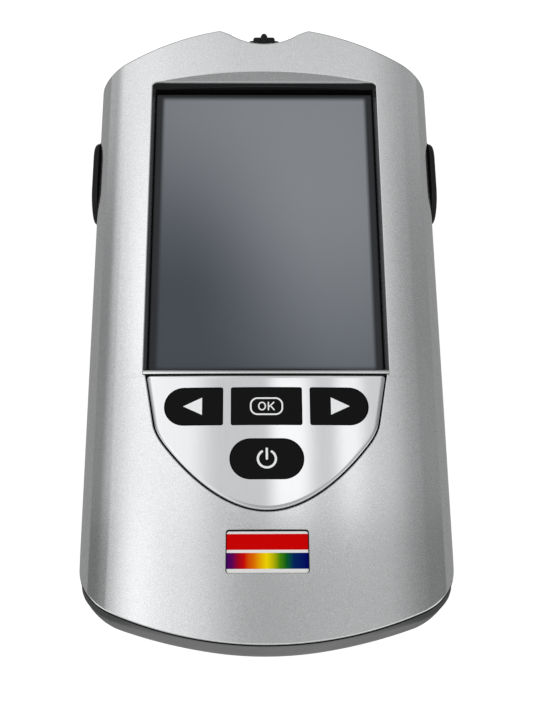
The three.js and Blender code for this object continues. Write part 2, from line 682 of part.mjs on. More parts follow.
const lcdTop = glassBottom - SEAT_GAP;
const lcdBottom = lcdTop - LCD_THICK;
add('lcd_panel', block([-glassX, glassX], glassY, [lcdBottom, lcdTop]), displayGrey);

const wellX = glassX + LCD_MARGIN;
const wellY = [glassY[0] - LCD_MARGIN, glassY[1] + LCD_MARGIN];
const wellZ = [lcdBottom - SOLDER, FACE_Z];
const trayX = wellX + LCD_TRAY_WALL;
const trayY = [wellY[0] - LCD_TRAY_WALL, wellY[1] + LCD_TRAY_WALL];
add('lcd_frame', cut(
  block([-trayX, trayX], trayY, [wellZ[0] - LCD_TRAY_WALL, lcdBottom + LCD_TRAY_LIP]),
  block([-wellX, wellX], wellY, wellZ),
  centred(FLEX_WIDTH + 2 * SEAT_GAP, [trayY[0] - OVERRUN, glassY[0] + LCD_MARGIN], wellZ),
), steel);

// The ribbon leaves the panel's tail edge, turns down past the tray and ends on the board
const flexTop = lcdBottom + LCD_TRAY_LIP;
const flexY = trayY[0] - FLEX_REACH;
add('display_flex', alongWidth([
  new THREE.Vector2(glassY[0] - SOLDER, flexTop - FLEX_THICK),
  new THREE.Vector2(glassY[0] - SOLDER, flexTop),
  new THREE.Vector2(flexY - FLEX_THICK, flexTop),
  new THREE.Vector2(flexY - FLEX_THICK, BOARD_TOP + SOLDER),
  new THREE.Vector2(flexY + FLEX_REACH, BOARD_TOP + SOLDER),
  new THREE.Vector2(flexY + FLEX_REACH, BOARD_TOP + SOLDER + FLEX_THICK),
  new THREE.Vector2(flexY, BOARD_TOP + SOLDER + FLEX_THICK),
  new THREE.Vector2(flexY, flexTop - FLEX_THICK),
], -FLEX_WIDTH / 2, FLEX_WIDTH / 2), flexAmber);

// Key panel with its four keys
add('keypad_fascia', cut(
  prism(panel, 0, frontTop).intersect(layer(0, PANEL_THICK, -HALF_LENGTH, HALF_LENGTH)),
  ...Object.values(keys).map((key) => prism(grown(key, KEY_CLEARANCE), 0, frontTop)),
), glossSilver);

const keyCrown = underFace(0, 0);
Object.entries(keys).forEach(([name, key]) => {
  const cap = prism(key, keyFlangeBottom, frontTop).intersect(keyCrown);
  add(name, join(cap, prism(grown(key, KEY_FLANGE), keyFlangeBottom, keyFlangeTop)), blackPlastic);
});

// Under the keys: rubber mat with a pad for each key, snap domes, and their own board
const matRow = [rowBottom - MAT_MARGIN, rowTop + MAT_MARGIN];
const matPower = [powerBottom - MAT_MARGIN, rowBottom];
const matPowerWidth = POWER_WIDTH + 2 * MAT_MARGIN;
function matSheet(...z) {
  return join(block([-keyBoardX, keyBoardX], matRow, z), centred(matPowerWidth, matPower, z));
}

function padOutline(key) {
  const middle = new THREE.Box2().setFromPoints(key).getCenter(new THREE.Vector2());
  return key.map((point) => middle.clone().lerp(point, PAD_SHARE));
}

add('keypad_mat', join(
  matSheet(matBottom, matBottom + MAT_THICK),
  ...Object.values(keys).map((key) => prism(padOutline(key), matBottom, padTop)),
), padGrey);

const domeBottom = keyBoardTop + KEY_STANDOFF;
add('keypad_domes', matSheet(domeBottom, domeBottom + DOME_THICK), steel);

add('keypad_board', cut(
  block([-keyBoardX, keyBoardX], keyBoardY, [keyBoardBottom, keyBoardTop]),
  ...keyScrews.map(([x, y]) => rod(pilot, x, y, [0, frontTop])),
), boardGreen);

keyScrews.forEach(([x, y], i) => {
  const head = [keyBoardBottom - SOLDER - SMALL_SCREW_HEAD_THICK, keyBoardBottom - SOLDER];
  add(`keypad_screw_${i + 1}`, join(
    rod(SMALL_SCREW_HEAD, x, y, head),
    rod(SMALL_SCREW_RADIUS, x, y, [head[0], keyBoardTop + SMALL_SCREW_BITE - SEAT_GAP]),
  ), steel);
});

const headerY = [powerBottom, powerBottom + HEADER_DEPTH];
const headerZ = [BOARD_TOP + SOLDER, keyBoardBottom - SOLDER];
add('keypad_header', centred(HEADER_WIDTH, headerY, headerZ), blackPlastic);

// Side scan buttons: domed outside, with a flange inside that keeps them in
function innerWallX(z, wall) {
  const rise = Math.max(0, z - SHOULDER_Z);
  return SHOULDER_X + Math.sqrt((SHOULDER_RADIUS - wall) ** 2 - rise ** 2);
}

const flangeOut = innerWallX(SEAM_Z + SCAN_HEIGHT / 2 + SCAN_FLANGE, FRONT_WALL) - SEAT_GAP;
const flangeIn = flangeOut - SCAN_FLANGE_THICK;
const buttonTip = HALF_WIDTH + SCAN_PROUD;
const switchTop = SEAM_Z + SWITCH_HEIGHT / 2;
const switchOut = flangeIn - SCAN_TRAVEL - KEY_STANDOFF;

// Built along Z and then laid over, so that its rings are stadiums in Y and Z
function scanButton(side) {
  const rings = [scanOutline(SCAN_FLANGE), scanOutline(SCAN_FLANGE)];
  const heights = [flangeIn, flangeOut];
  const flange = lofted(rings, heights);
  const domeShares = [[0, 0], [0.35, 0.12], [0.7, 0.38], [0.92, 0.7], [1, 1]];
  const cap = lofted(
    [scanOutline(0), ...domeShares.map(([, inwards]) => scanOutline(-SCAN_DOME * inwards))],
    [flangeIn, ...domeShares.map(([outwards]) => buttonTip - SCAN_DOME * (1 - outwards))]);
  return [flange, cap].map((geometry) => {
    geometry.applyMatrix4(new THREE.Matrix4().makeBasis(
      new THREE.Vector3(0, 1, 0), new THREE.Vector3(0, 0, 1), new THREE.Vector3(1, 0, 0)));
    if (side < 0) {
      geometry.rotateZ(Math.PI);
      geometry.translate(0, 2 * scanY, 0);
    }
    return solid(geometry);
  }).reduce((one, two) => one.add(two));
}

bothSides((side) => {
  const name = side < 0 ? 'left' : 'right';
  const face = switchOut - SWITCH_TIP;
  add(`scan_button_${name}`, scanButton(side), blackRubber);
  add(`scan_switch_${name}`, join(
    block(across(side, face - SWITCH_DEPTH, face),
      [scanY - SWITCH_WIDTH / 2, scanY + SWITCH_WIDTH / 2], [BOARD_TOP + SOLDER, switchTop]),
    block(across(side, face, switchOut), [scanY - SWITCH_WIDTH / 6, scanY + SWITCH_WIDTH / 6],
      [SEAM_Z - SWITCH_HEIGHT / 4, SEAM_Z + SWITCH_HEIGHT / 4]),
  ), chipBlack);
});

// Main board, held on posts of the rear shell
const boardY = [BOARD_FROM_TAIL - HALF_LENGTH, HALF_LENGTH - BOARD_FROM_HEAD];
const boardOutline = centredBox(CASE_WIDTH - 2 * BOARD_FROM_SIDE, boardY, BOARD_CORNER);
add('main_board', cut(
  prism(boardOutline, BOARD_BOTTOM, BOARD_TOP),
  ...boardScrews.map(([x, y]) => rod(pilot, x, y, [0, FACE_Z])),
  ...caseScrews.map(([x, y]) => rod(CASE_BOSS + SEAT_GAP, x, y, [0, FACE_Z])),
), boardGreen);

const boardScrewTip = BOARD_BOTTOM - SMALL_SCREW_BITE;
boardScrews.forEach(([x, y], i) => {
  const seat = BOARD_TOP + SOLDER;
  add(`board_screw_${i + 1}`, join(
    rod(SMALL_SCREW_HEAD, x, y, [seat, seat + SMALL_SCREW_HEAD_THICK]),
    rod(SMALL_SCREW_RADIUS, x, y, [boardScrewTip, seat + SMALL_SCREW_HEAD_THICK]),
  ), steel);
});

// Parts under the display lie at shares of the window's length
function onBoard(width, height, shares) {
  const foot = BOARD_TOP + SOLDER;
  const y = shares.map((share) => THREE.MathUtils.lerp(WINDOW_BOTTOM, WINDOW_TOP, share));
  return centred(width, y, [foot, foot + height]);
}

add('processor_shield', onBoard(SHIELD_WIDTH, SHIELD_HEIGHT, SHIELD_SHARES), steel);
add('radio_module', onBoard(RADIO_WIDTH, RADIO_HEIGHT, RADIO_SHARES), chipBlack);
const sounderX = HALF_WIDTH - SOUNDER_FROM_SIDE;
const sounderY = HALF_LENGTH - SOUNDER_FROM_HEAD;
add('sounder', rod(SOUNDER_RADIUS, sounderX, sounderY,
  [BOARD_BOTTOM - SOLDER - SOUNDER_HEIGHT, BOARD_BOTTOM - SOLDER]), blackPlastic);

// Strip port: a nose in the notch with two jaws, a rib to guide the finger, and a body in the wall
const portTop = FACE_Z - PORT_TOP_DROP;
const stripTop = portTop - PORT_JAW_THICK;
const stripLow = stripTop - STRIP_THICK;
const portLow = stripLow - PORT_LIP_THICK;
const portFront = NOTCH_Y + PORT_REACH;
const portRibFront = NOTCH_Y + PORT_RIB_REACH;
const jawNotchRise = NOTCH_ARC - Math.sqrt(NOTCH_ARC ** 2 - (PORT_JAW_WIDTH / 2 + SEAT_GAP) ** 2);
const portWallY = NOTCH_Y + jawNotchRise + SEAT_GAP;
const portBackY = NOTCH_Y - PORT_BODY_DEPTH;
const portBodyY = NOTCH_Y - REAR_WALL / 4;
const portBodyTop = FACE_Z - FRONT_WALL - 2 * SEAT_GAP;
const ribRound = arc(portRibFront - PORT_RIB_RISE, portTop, PORT_RIB_RISE, 0, Math.PI / 2, 4);
const ribBackY = portWallY + (PORT_RIB_REACH - PORT_RIB_RISE) / 2;
add('strip_port', cut(
  join(
    centred(PORT_LIP_WIDTH, [portBackY, portFront + SEAT_GAP], [portLow, stripLow]),
    centred(PORT_JAW_WIDTH + SEAT_GAP, [portWallY, portFront], [stripLow - SOLDER, portTop]),
    centred(PORT_BODY_WIDTH, [portBackY, portBodyY], [portLow, portBodyTop]),
    centred(PORT_JAW_WIDTH, [portBackY, portWallY + SOLDER], [portLow, portBodyTop]),
    alongWidth([
      new THREE.Vector2(ribBackY, portTop - SOLDER),
      new THREE.Vector2(portRibFront, portTop - SOLDER),
      ...ribRound,
      new THREE.Vector2(ribBackY, portTop + PORT_RIB_RISE),
    ], -PORT_RIB_WIDTH / 2, PORT_RIB_WIDTH / 2),
  ),
  centred(STRIP_WIDTH, [portBackY - OVERRUN, portRibFront + OVERRUN], [stripLow, stripTop]),
), blackPlastic);

const stripBlockY = [portBackY - SEAT_GAP - STRIP_BLOCK_DEPTH, portBackY - SEAT_GAP];
const stripBlockTop = stripTop + SOLDER;
const stripTroughY = [stripBlockY[0] + CONTACT_PITCH, stripBlockY[1] + OVERRUN];
add('strip_connector', cut(
  centred(STRIP_BLOCK_WIDTH, stripBlockY, [BOARD_TOP + SOLDER, stripBlockTop]),
  centred(STRIP_WIDTH, stripTroughY, [stripLow, stripBlockTop + OVERRUN]),
), blackPlastic);

// Contacts of the strip reader: fingers on one cross strip that lies over the block
const contactZ = [stripBlockTop + SOLDER, stripBlockTop + SOLDER + CONTACT_THICK];
const fingers = [];
for (let i = 0; i < CONTACT_COUNT; i += 1) {
  const x = (i - (CONTACT_COUNT - 1) / 2) * CONTACT_PITCH;
  fingers.push(block([x - CONTACT_WIDTH / 2, x + CONTACT_WIDTH / 2],
    [stripBlockY[0], stripBlockY[1] - CONTACT_WIDTH], contactZ));
}
add('strip_contacts', join(
  centred(CONTACT_COUNT * CONTACT_PITCH, [stripBlockY[0], stripBlockY[0] + CONTACT_PITCH], contactZ),
  ...fingers,
), gold);

// Barcode reader, hung under the board behind its window in the head end
const readerWindowZ = BACK_Z + HEAD_ROUND_UP + READER_WINDOW_LEDGE;
const readerWindowBack = HALF_LENGTH - READER_WINDOW_SUNK - READER_WINDOW_THICK;
const readerTop = BOARD_BOTTOM - SOLDER;
const readerFront = HALF_LENGTH - REAR_WALL - SEAT_GAP;
const readerY = [readerFront - READER_LENGTH, readerFront];
function readerOutline(grow) {
  const z = [readerWindowZ - grow, readerWindowZ + READER_WINDOW_HEIGHT + grow];
  return centredBox(READER_WINDOW_WIDTH + 2 * grow, z, KEY_CORNER);
}
add('scan_window', alongLength(
  readerOutline(0), readerWindowBack, readerWindowBack + READER_WINDOW_THICK), readerRed);
const readerZ = [readerWindowZ - READER_BELOW_WINDOW, readerTop];
add('scan_engine', centred(READER_WIDTH, readerY, readerZ), chipBlack);

// Battery bay: the pack lies over the cover and its latch, under the bay's own roof
const coverTop = BACK_Z + COVER_THICK;
const latchFlange = [coverTop + SEAT_GAP, coverTop + SEAT_GAP + LATCH_FLANGE_THICK];
const packZ = [latchFlange[1] + SEAT_GAP, BOARD_BOTTOM - PACK_UNDER_BOARD];
const packY = [PACK_FROM_TAIL - HALF_LENGTH, HALF_LENGTH - PACK_FROM_HEAD];
const plugY = [packY[1] + SEAT_GAP, packY[1] + SEAT_GAP + PLUG_DEPTH];
const bayX = PACK_WIDTH / 2 + BAY_CLEARANCE;
const bayY = [packY[0] - BAY_CLEARANCE, plugY[1] + SEAT_GAP];
const bayRoof = packZ[1] + SEAT_GAP;
const recessX = bayX + COVER_LEDGE;
const recessY = [bayY[0] - COVER_LEDGE, bayY[1] + COVER_LEDGE];
const coverY = [recessY[0] + COVER_GAP, recessY[1] - COVER_GAP];
const plugZ = [packZ[1] - PLUG_HEIGHT, BOARD_BOTTOM - SOLDER];
add('battery_pack', prism(centredBox(PACK_WIDTH, packY, COVER_CORNER / 2), ...packZ), packBlue);
add('battery_connector', centred(PLUG_WIDTH, plugY, plugZ), blackPlastic);

// Cover: it rolls out on two tongues at the tail end and is held by a sliding latch at the head end
const tongueZ = [FLOOR_Z + SEAT_GAP, FLOOR_Z + SEAT_GAP + TONGUE_THICK];
const tongues = bothSides((side) => {
  const x = side * TONGUE_SHARE * PACK_WIDTH / 2;
  const span = [x - TONGUE_WIDTH / 2, x + TONGUE_WIDTH / 2];
  return join(
    block(span, [coverY[0], coverY[0] + COVER_LEDGE / 2], [coverTop - SOLDER, tongueZ[1]]),
    block(span, [recessY[0] - TONGUE_REACH, coverY[0] + COVER_LEDGE / 2], tongueZ),
  );
});
const latchHead = bayY[1] - LATCH_FLANGE - SEAT_GAP;
const latchY = [latchHead - LATCH_LENGTH, latchHead];
const latchSlotY = [latchY[0] - LATCH_TRAVEL - SEAT_GAP, latchY[1] + SEAT_GAP];
const coverOutline = centredBox(2 * (recessX - COVER_GAP), coverY, COVER_CORNER);
add('battery_cover', join(cut(
  prism(coverOutline, BACK_Z, coverTop),
  centred(LATCH_WIDTH + 2 * SEAT_GAP, latchSlotY, [0, coverTop + OVERRUN]),
), ...tongues), greyPlastic);

const noseY = [latchY[1], coverY[1]];
add('battery_latch', join(
  centred(LATCH_WIDTH, latchY, [BACK_Z + SOLDER, latchFlange[1]]),
  centred(LATCH_WIDTH + 2 * LATCH_FLANGE, [latchY[0] - LATCH_FLANGE, latchY[1]], latchFlange),
  centred(LATCH_NOSE_WIDTH, [noseY[0] - LATCH_FLANGE, noseY[1]], latchFlange),
), blackPlastic);

// Rear shell: the hull under the sheet, hollow, with its bay, posts, bosses and openings
const dockY = -HALF_LENGTH + DOCK_DEPTH;
const dockMiddleZ = BOARD_BOTTOM - DOCK_UNDER_BOARD;
const dockZ = [dockMiddleZ - DOCK_HEIGHT / 2, dockMiddleZ + DOCK_HEIGHT / 2];
const outer = hull(0, FACE_Z + OVERRUN);
const inner = hull(REAR_WALL, FACE_Z + 2 * OVERRUN);
const underSheet = join(
  underFace(FRONT_WALL + SEAT_GAP, -OVERRUN),
  centred(CASE_WIDTH + OVERRUN, [-CASE_LENGTH, CASE_LENGTH], [-OVERRUN, SEAM_Z - SEAT_GAP]),
);
const bayOuterX = [-bayX - BAY_WALL, bayX + BAY_WALL];
const bayOuterY = [bayY[0] - BAY_WALL, bayY[1] + BAY_WALL];
const midWall = BACK_Z + REAR_WALL / 2;
const headWall = [HALF_LENGTH - REAR_WALL, HALF_LENGTH - REAR_WALL / 2];
const readerSeatWidth = READER_WINDOW_WIDTH + 4 * READER_WINDOW_LEDGE;
const readerSeatTop = readerWindowZ + READER_WINDOW_HEIGHT + READER_WINDOW_LEDGE;
const fittings = [
  block(bayOuterX, bayOuterY, [midWall, bayRoof + BAY_WALL]),
  block([-recessX - BAY_WALL, recessX + BAY_WALL], [recessY[0] - BAY_WALL, recessY[1] + BAY_WALL],
    [midWall, FLOOR_Z + BAY_WALL]),
  ...boardScrews.map(([x, y]) => rod(POST_RADIUS, x, y, [midWall, BOARD_BOTTOM - SOLDER])),
  ...caseScrews.map(([x, y]) => rod(CASE_BOSS, x, y, [midWall, SEAM_Z - SEAT_GAP])),
  centred(DOCK_WIDTH + 2 * DOCK_WALL, [-HALF_LENGTH, dockY + DOCK_WALL],
    [dockZ[0] - DOCK_WALL, dockZ[1] + DOCK_WALL]),
  centred(readerSeatWidth, headWall, [readerWindowZ - READER_WINDOW_LEDGE, readerSeatTop]),
];
const noseSlot = centred(LATCH_NOSE_WIDTH + 2 * SEAT_GAP, [bayY[1] - SOLDER, recessY[1] + LATCH_FLANGE],
  [FLOOR_Z, latchFlange[1] + SEAT_GAP]);
const tongueSlots = bothSides((side) => {
  const x = side * TONGUE_SHARE * PACK_WIDTH / 2;
  const half = TONGUE_WIDTH / 2 + SEAT_GAP;
  return block([x - half, x + half], [recessY[0] - TONGUE_REACH - SEAT_GAP, bayY[0] + SOLDER],
    [FLOOR_Z, tongueZ[1] + TONGUE_REACH]);
});
const feet = fourPlaces(FOOT_FROM_SIDE, FOOT_FROM_TAIL, FOOT_FROM_HEAD);
const slotWidth = SOUNDER_RADIUS / 4;
const sounderSlots = [-1, 0, 1].map((place) => {
  const y = sounderY + 2 * place * slotWidth;
  return block([sounderX - SOUNDER_RADIUS / 2, sounderX + SOUNDER_RADIUS / 2],
    [y - slotWidth / 2, y + slotWidth / 2], [-OVERRUN, FLOOR_Z + OVERRUN]);
});
const portHole = [portLow - SEAT_GAP, FACE_Z];
const plugHoleY = [plugY[0] - SEAT_GAP, plugY[1] + SEAT_GAP];
add('rear_shell', cut(
  join(cut(outer, inner), ...fittings.map((fitting) => fitting.intersect(outer))).intersect(underSheet),
  prism(centredBox(2 * recessX, recessY, COVER_CORNER), -OVERRUN, FLOOR_Z),
  block([-bayX, bayX], bayY, [-OVERRUN, bayRoof]),
  centred(PLUG_WIDTH + 2 * SEAT_GAP, plugHoleY, [bayRoof - OVERRUN, FACE_Z]),
  noseSlot,
  ...tongueSlots,
  ...feet.map(([x, y]) => rod(FOOT_RADIUS + SEAT_GAP, x, y, [-OVERRUN, BACK_Z + FOOT_SUNK])),
  ...boardScrews.map(([x, y]) => rod(pilot, x, y, [boardScrewTip - SEAT_GAP, FACE_Z])),
  ...caseScrews.flatMap(([x, y]) => [
    rod(CASE_SCREW_RADIUS + 2 * SOLDER, x, y, [-OVERRUN, FACE_Z]),
    rod(CASE_SCREW_HEAD + SEAT_GAP, x, y, [-OVERRUN, caseScrewSeat]),
  ]),
  ...scanHoles,
  ...sounderSlots,
  centred(PORT_BODY_WIDTH + 2 * SEAT_GAP, [portBackY - OVERRUN, portBodyY + SEAT_GAP], portHole),
  centred(PORT_LIP_WIDTH + 2 * SEAT_GAP, [portBackY - OVERRUN, HALF_LENGTH], portHole),
  alongLength(readerOutline(SEAT_GAP), readerWindowBack - SEAT_GAP, HALF_LENGTH + OVERRUN),
  alongLength(readerOutline(-READER_WINDOW_LEDGE), readerWindowBack - OVERRUN, HALF_LENGTH),
  centred(DOCK_WIDTH, [-CASE_LENGTH, dockY], dockZ),
), greyPlastic);

// Dock socket: a connector block at the bottom of the tail recess, with a row of flat contacts
const dockBlockY = [dockY - SEAT_GAP - REAR_WALL, dockY - SEAT_GAP];
const dockBlockZ = [dockZ[0] + SEAT_GAP, dockZ[1] - SEAT_GAP];
add('dock_connector', centred(DOCK_WIDTH - 2 * SEAT_GAP, dockBlockY, dockBlockZ), blackPlastic);
const pinY = [dockBlockY[0] - DOCK_PIN_PROUD, dockBlockY[0] - SOLDER / 2];
const pinSpan = (DOCK_PIN_COUNT - 1) * DOCK_PIN_PITCH + DOCK_PIN_WIDTH;
const pinZ = [dockBlockZ[0], dockMiddleZ + DOCK_PIN_WIDTH];
const pins = [];
for (let i = 0; i < DOCK_PIN_COUNT; i += 1) {
  const x = (i - (DOCK_PIN_COUNT - 1) / 2) * DOCK_PIN_PITCH;
  pins.push(block([x - DOCK_PIN_WIDTH / 2, x + DOCK_PIN_WIDTH / 2], pinY, pinZ));
}
add('dock_contacts', join(
  centred(pinSpan, pinY, [dockBlockZ[0], dockBlockZ[0] + DOCK_PIN_WIDTH]),
  ...pins,
), gold);

// Case screws, put in from the back, and the rubber feet
caseScrews.forEach(([x, y], i) => {
  const head = [caseScrewSeat - SOLDER - CASE_SCREW_HEAD_THICK, caseScrewSeat - SOLDER];
  add(`case_screw_${i + 1}`, join(
    rod(CASE_SCREW_HEAD, x, y, head),
    rod(CASE_SCREW_RADIUS, x, y, [head[0], caseScrewTip]),
  ), steel);
});

feet.forEach(([x, y], i) => {
  add(`foot_${i + 1}`, rod(FOOT_RADIUS, x, y, [0, BACK_Z + FOOT_SUNK - SOLDER]), blackRubber);
});

export default group;
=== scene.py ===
"""Looks of a handheld creatinine meter that lies on its back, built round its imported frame.

Sizes are millimetres and are turned to metres where a mesh is made. X runs across the meter,
Y towards the strip port and Z out of the display face."""

import bpy
import numpy as np
from mathutils import Matrix, Vector


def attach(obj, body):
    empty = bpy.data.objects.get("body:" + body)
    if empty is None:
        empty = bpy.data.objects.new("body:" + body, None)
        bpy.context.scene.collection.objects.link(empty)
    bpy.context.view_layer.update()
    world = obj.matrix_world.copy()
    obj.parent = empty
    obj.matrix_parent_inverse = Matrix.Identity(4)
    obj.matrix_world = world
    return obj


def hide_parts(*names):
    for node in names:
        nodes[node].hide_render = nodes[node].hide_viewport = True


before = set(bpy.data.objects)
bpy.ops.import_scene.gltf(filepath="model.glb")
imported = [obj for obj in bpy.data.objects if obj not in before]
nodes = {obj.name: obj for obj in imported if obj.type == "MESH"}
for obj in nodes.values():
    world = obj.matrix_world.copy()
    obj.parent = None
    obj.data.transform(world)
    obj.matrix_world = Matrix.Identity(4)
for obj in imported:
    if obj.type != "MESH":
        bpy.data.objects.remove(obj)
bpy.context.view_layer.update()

# Front cover: the silver face, crowned across and rolled over at both sides. It is moulded plastic
# sprayed with a satin metallic paint that has a fine flake in it, and screws hold it from behind.
MM, quarter = 0.001, np.pi / 2
HALF_WIDTH, HALF_LENGTH, FACE_Z, SEAM_Z = 41.25, 76.6, 46.0, 32.0
CROWN, SHOULDER = 230.0, 8.0
SHOULDER_X = HALF_WIDTH - SHOULDER
SHOULDER_TURN = np.arcsin(SHOULDER_X / (CROWN - SHOULDER))
SHOULDER_Z = FACE_Z - CROWN + (CROWN - SHOULDER) * np.cos(SHOULDER_TURN)
TAIL_ARC, TAIL_CORNER, HEAD_ARC, HEAD_CORNER = 82.0, 13.5, 70.0, 1.4
HORN_X, HORN_ROUND, NOTCH_ARC, NOTCH_Y, NOTCH_MOUTH = 11.1, 0.5, 14.0, 72.5, 8.5
WINDOW_X, WINDOW_LOW, WINDOW_HIGH, WINDOW_CORNER = 27.9, -15.9, 61.9, 1.0
PANEL_X, PANEL_HIGH, PANEL_HEIGHT, PANEL_GAP, PANEL_BOW = 27.1, -16.3, 31.5, 0.3, 0.5
SCAN_Y, SCAN_STRAIGHT, SCAN_ROUND = 39.8, 4.3, 6.8
SILL_SLOPE, CREASE_SOFT, CREASE_HALF, CREASE_OUT = 1.7 / 2.3, 0.03, 0.15, 0.5
EDGE_THICK, COVER_WALL, WALL_DEPTH, WALL_LEAN, SEAT_DEPTH = 0.7, 2.2, 2.2, 0.6, 2.0
OPENING_ROUND, HEAD_EDGE_ROUND, TAIL_EDGE_ROUND, SIDE_EDGE_ROUND = 0.3, 0.38, 0.42, 0.22
LIP_WIDE, LIP_THICK, LIP_EDGE, LIP_SUNK, SEAT_LIP_WIDE = 0.3, 0.3, 0.02, 0.06, 1.4
TONGUE_LONG, TONGUE_AT_SCAN, TONGUE_INSETS, UNDER_OUT = 1.5, 0.05, ((1.1, 0), (1.16, 1), (2.0, 1)), 0.3


def face_height(x, inset=0.0):
    """z = zc + sqrt((R - inset)^2 - x^2) on the crown, and z = zs + sqrt((r - inset)^2 - (|x| - xs)^2)
    on the shoulder, which starts where the two arcs touch. Past the shoulder it stays at zs."""
    side = np.abs(x)
    crown = FACE_Z - CROWN + np.sqrt((CROWN - inset) ** 2 - side**2)
    rolled = SHOULDER_Z + np.sqrt(np.maximum(0, (SHOULDER - inset) ** 2 - (side - SHOULDER_X) ** 2))
    return np.where(side <= (CROWN - inset) * np.sin(SHOULDER_TURN), crown, rolled)


def arc(x, y, radius, start, end, count):
    """(x + r cos t, y + r sin t) for count even steps of t, in radians."""
    turn = np.linspace(start, end, count + 1)
    return np.stack([x + radius * np.cos(turn), y + radius * np.sin(turn)], 1)


def curve(points, count):
    """Bezier curve of any order: repeated (1 - t) a + t b between neighbouring control points."""
    t = np.linspace(0, 1, count + 1)[:, None, None]
    level = np.broadcast_to(np.asarray(points, float), (count + 1, len(points), 2))
    while level.shape[1] > 1:
        level = (1 - t) * level[:, :-1] + t * level[:, 1:]
    return level[:, 0]


def spaced(line, count):
    """count even steps by arc length along a line of points."""
    line = np.asarray(line, float)
    run = np.concatenate([[0], np.cumsum(np.linalg.norm(np.diff(line, axis=0), axis=1))])
    at = np.linspace(0, run[-1], count + 1)
    return np.stack([np.interp(at, run, line[:, 0]), np.interp(at, run, line[:, 1])], 1)


def chained(parts):
    """Joins lines end to end and drops each doubled end point."""
    return np.concatenate([parts[0]] + [part[1:] for part in parts[1:]])


def both_halves(half):
    """Closes a right half, drawn from tail to head on the axis, with its mirror image."""
    return np.concatenate([half, half[-2:0:-1] * [-1, 1]])


def outward(ring):
    """Unit normals (dy, -dx) of a ring drawn anticlockwise, from central differences."""
    step = np.roll(ring, -1, 0) - np.roll(ring, 1, 0)
    step /= np.linalg.norm(step, axis=1, keepdims=True)
    return np.stack([step[:, 1], -step[:, 0]], 1)


def slid(start, end, count):
    """count even steps a + (b - a) t from one plan or height to another, without the first."""
    return [start + (end - start) * t for t in np.linspace(0, 1, count + 1)[1:]]


def lifted(plan, z):
    """Points (x, y) given their heights."""
    return np.concatenate([plan, np.broadcast_to(z, len(plan))[:, None]], 1)


def on_face(plan, drop=0.0):
    """Points (x, y) laid on the crowned face, a drop below it."""
    return lifted(plan, face_height(plan[:, 0]) - drop)


def new_piece(name, points, faces, body, slot, *finishes):
    """A mesh of the given points in millimetres, smooth but for its edges, riding on a body."""
    mesh = bpy.data.meshes.new(name)
    mesh.from_pydata((np.asarray(points) * MM).tolist(), [], faces)
    piece = bpy.data.objects.new(name, mesh)
    bpy.context.scene.collection.objects.link(piece)
    for finish in finishes:
        mesh.materials.append(finish)
    smooth_but_edges(piece)
    if body:
        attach(piece, body)
    return piece


def smooth_but_edges(piece, turn=0.5):
    """Smooth shading, with edges sharp where two faces meet at more than turn radians."""
    piece.data.shade_smooth()
    piece.data.set_sharp_from_angle(angle=turn)


def grid_faces(rows, count, ring=False):
    """Quads (k, i), (k+1, i), (k+1, i+1), (k, i+1) with i going round. k goes round too for a ring,
    and otherwise the first and last rows are closed by flat caps."""
    k = np.arange(rows if ring else rows - 1)[:, None]
    i = np.arange(count)[None, :]
    low, high = k * count, (k + 1) % rows * count
    beside = (i + 1) % count
    quads = np.stack([low + i, high + i, high + beside, low + beside], -1).reshape(-1, 4).tolist()
    if not ring:
        last = (rows - 1) * count
        quads += [list(range(count)), list(range(last + count - 1, last - 1, -1))]
    return quads


def solid_of(rows, ring=False):
    """Points and faces of the surface through rows of points: P(k, i) = rows[k][i]."""
    rows = np.asarray(rows, float)
    return rows.reshape(-1, 3), grid_faces(len(rows), rows.shape[1], ring)


def skinned(name, rows, body, slot, *finishes, ring=False):
    """The surface through rows of points as a piece."""
    return new_piece(name, *solid_of(rows, ring), body, slot, *finishes)


def painted(piece, numbers):
    """Gives each face the piece's finish of its number, and faces past the last number the first."""
    every = np.zeros(len(piece.data.polygons), np.int32)
    every[:np.size(numbers)] = np.ravel(numbers)
    piece.data.polygons.foreach_set("material_index", every)


def cut_out(piece, tools, finish=0, operation="DIFFERENCE"):
    """Takes the joined tools out of the piece, or keeps only what lies in them, and makes the result
    its mesh. The faces that the cut leaves take the piece's finish of that number."""
    tool = new_piece("tool", *tools, None, None, *piece.data.materials)
    painted(tool, np.full(len(tool.data.polygons), finish))
    cutter = piece.modifiers.new("cut", "BOOLEAN")
    cutter.object = tool
    cutter.operation = operation
    cutter.solver = "MANIFOLD"
    bpy.context.view_layer.update()
    seen = piece.evaluated_get(bpy.context.evaluated_depsgraph_get())
    mesh = bpy.data.meshes.new_from_object(seen)
    piece.modifiers.clear()
    piece.data = mesh
    bpy.data.objects.remove(tool)
    smooth_but_edges(piece)


def prism(ring, low, high):
    """Points and faces of a ring carried straight up from one height to another."""
    return solid_of([lifted(ring, high), lifted(ring, low)])


def joined(*solids):
    """Points and faces of several solids in one list, each face numbered past those before it."""
    points, faces, start = [], [], 0
    for these, sides in solids:
        points.append(these)
        faces += [[start + corner for corner in side] for side in sides]
        start += len(these)
    return np.concatenate(points), faces


def rounded_box(x, y, right, steps=8, left=None):
    """Rectangle from x[0] to x[1] and y[0] to y[1], anticlockwise, with corners of one radius, or of
    one radius at the right and another at the left."""
    left = right if left is None else left
    corners = ((x[1] - right, y[0] + right, right), (x[1] - right, y[1] - right, right),
               (x[0] + left, y[1] - left, left), (x[0] + left, y[0] + left, left))
    return np.concatenate([arc(*corner, (turn - 1) * quarter, turn * quarter, steps)
                           for turn, corner in enumerate(corners)])


def shader(name):
    """A new material with its node list and its Principled shader."""
    material = bpy.data.materials.new(name)
    material.use_nodes = True
    tree = material.node_tree
    return material, tree, tree.nodes["Principled BSDF"]


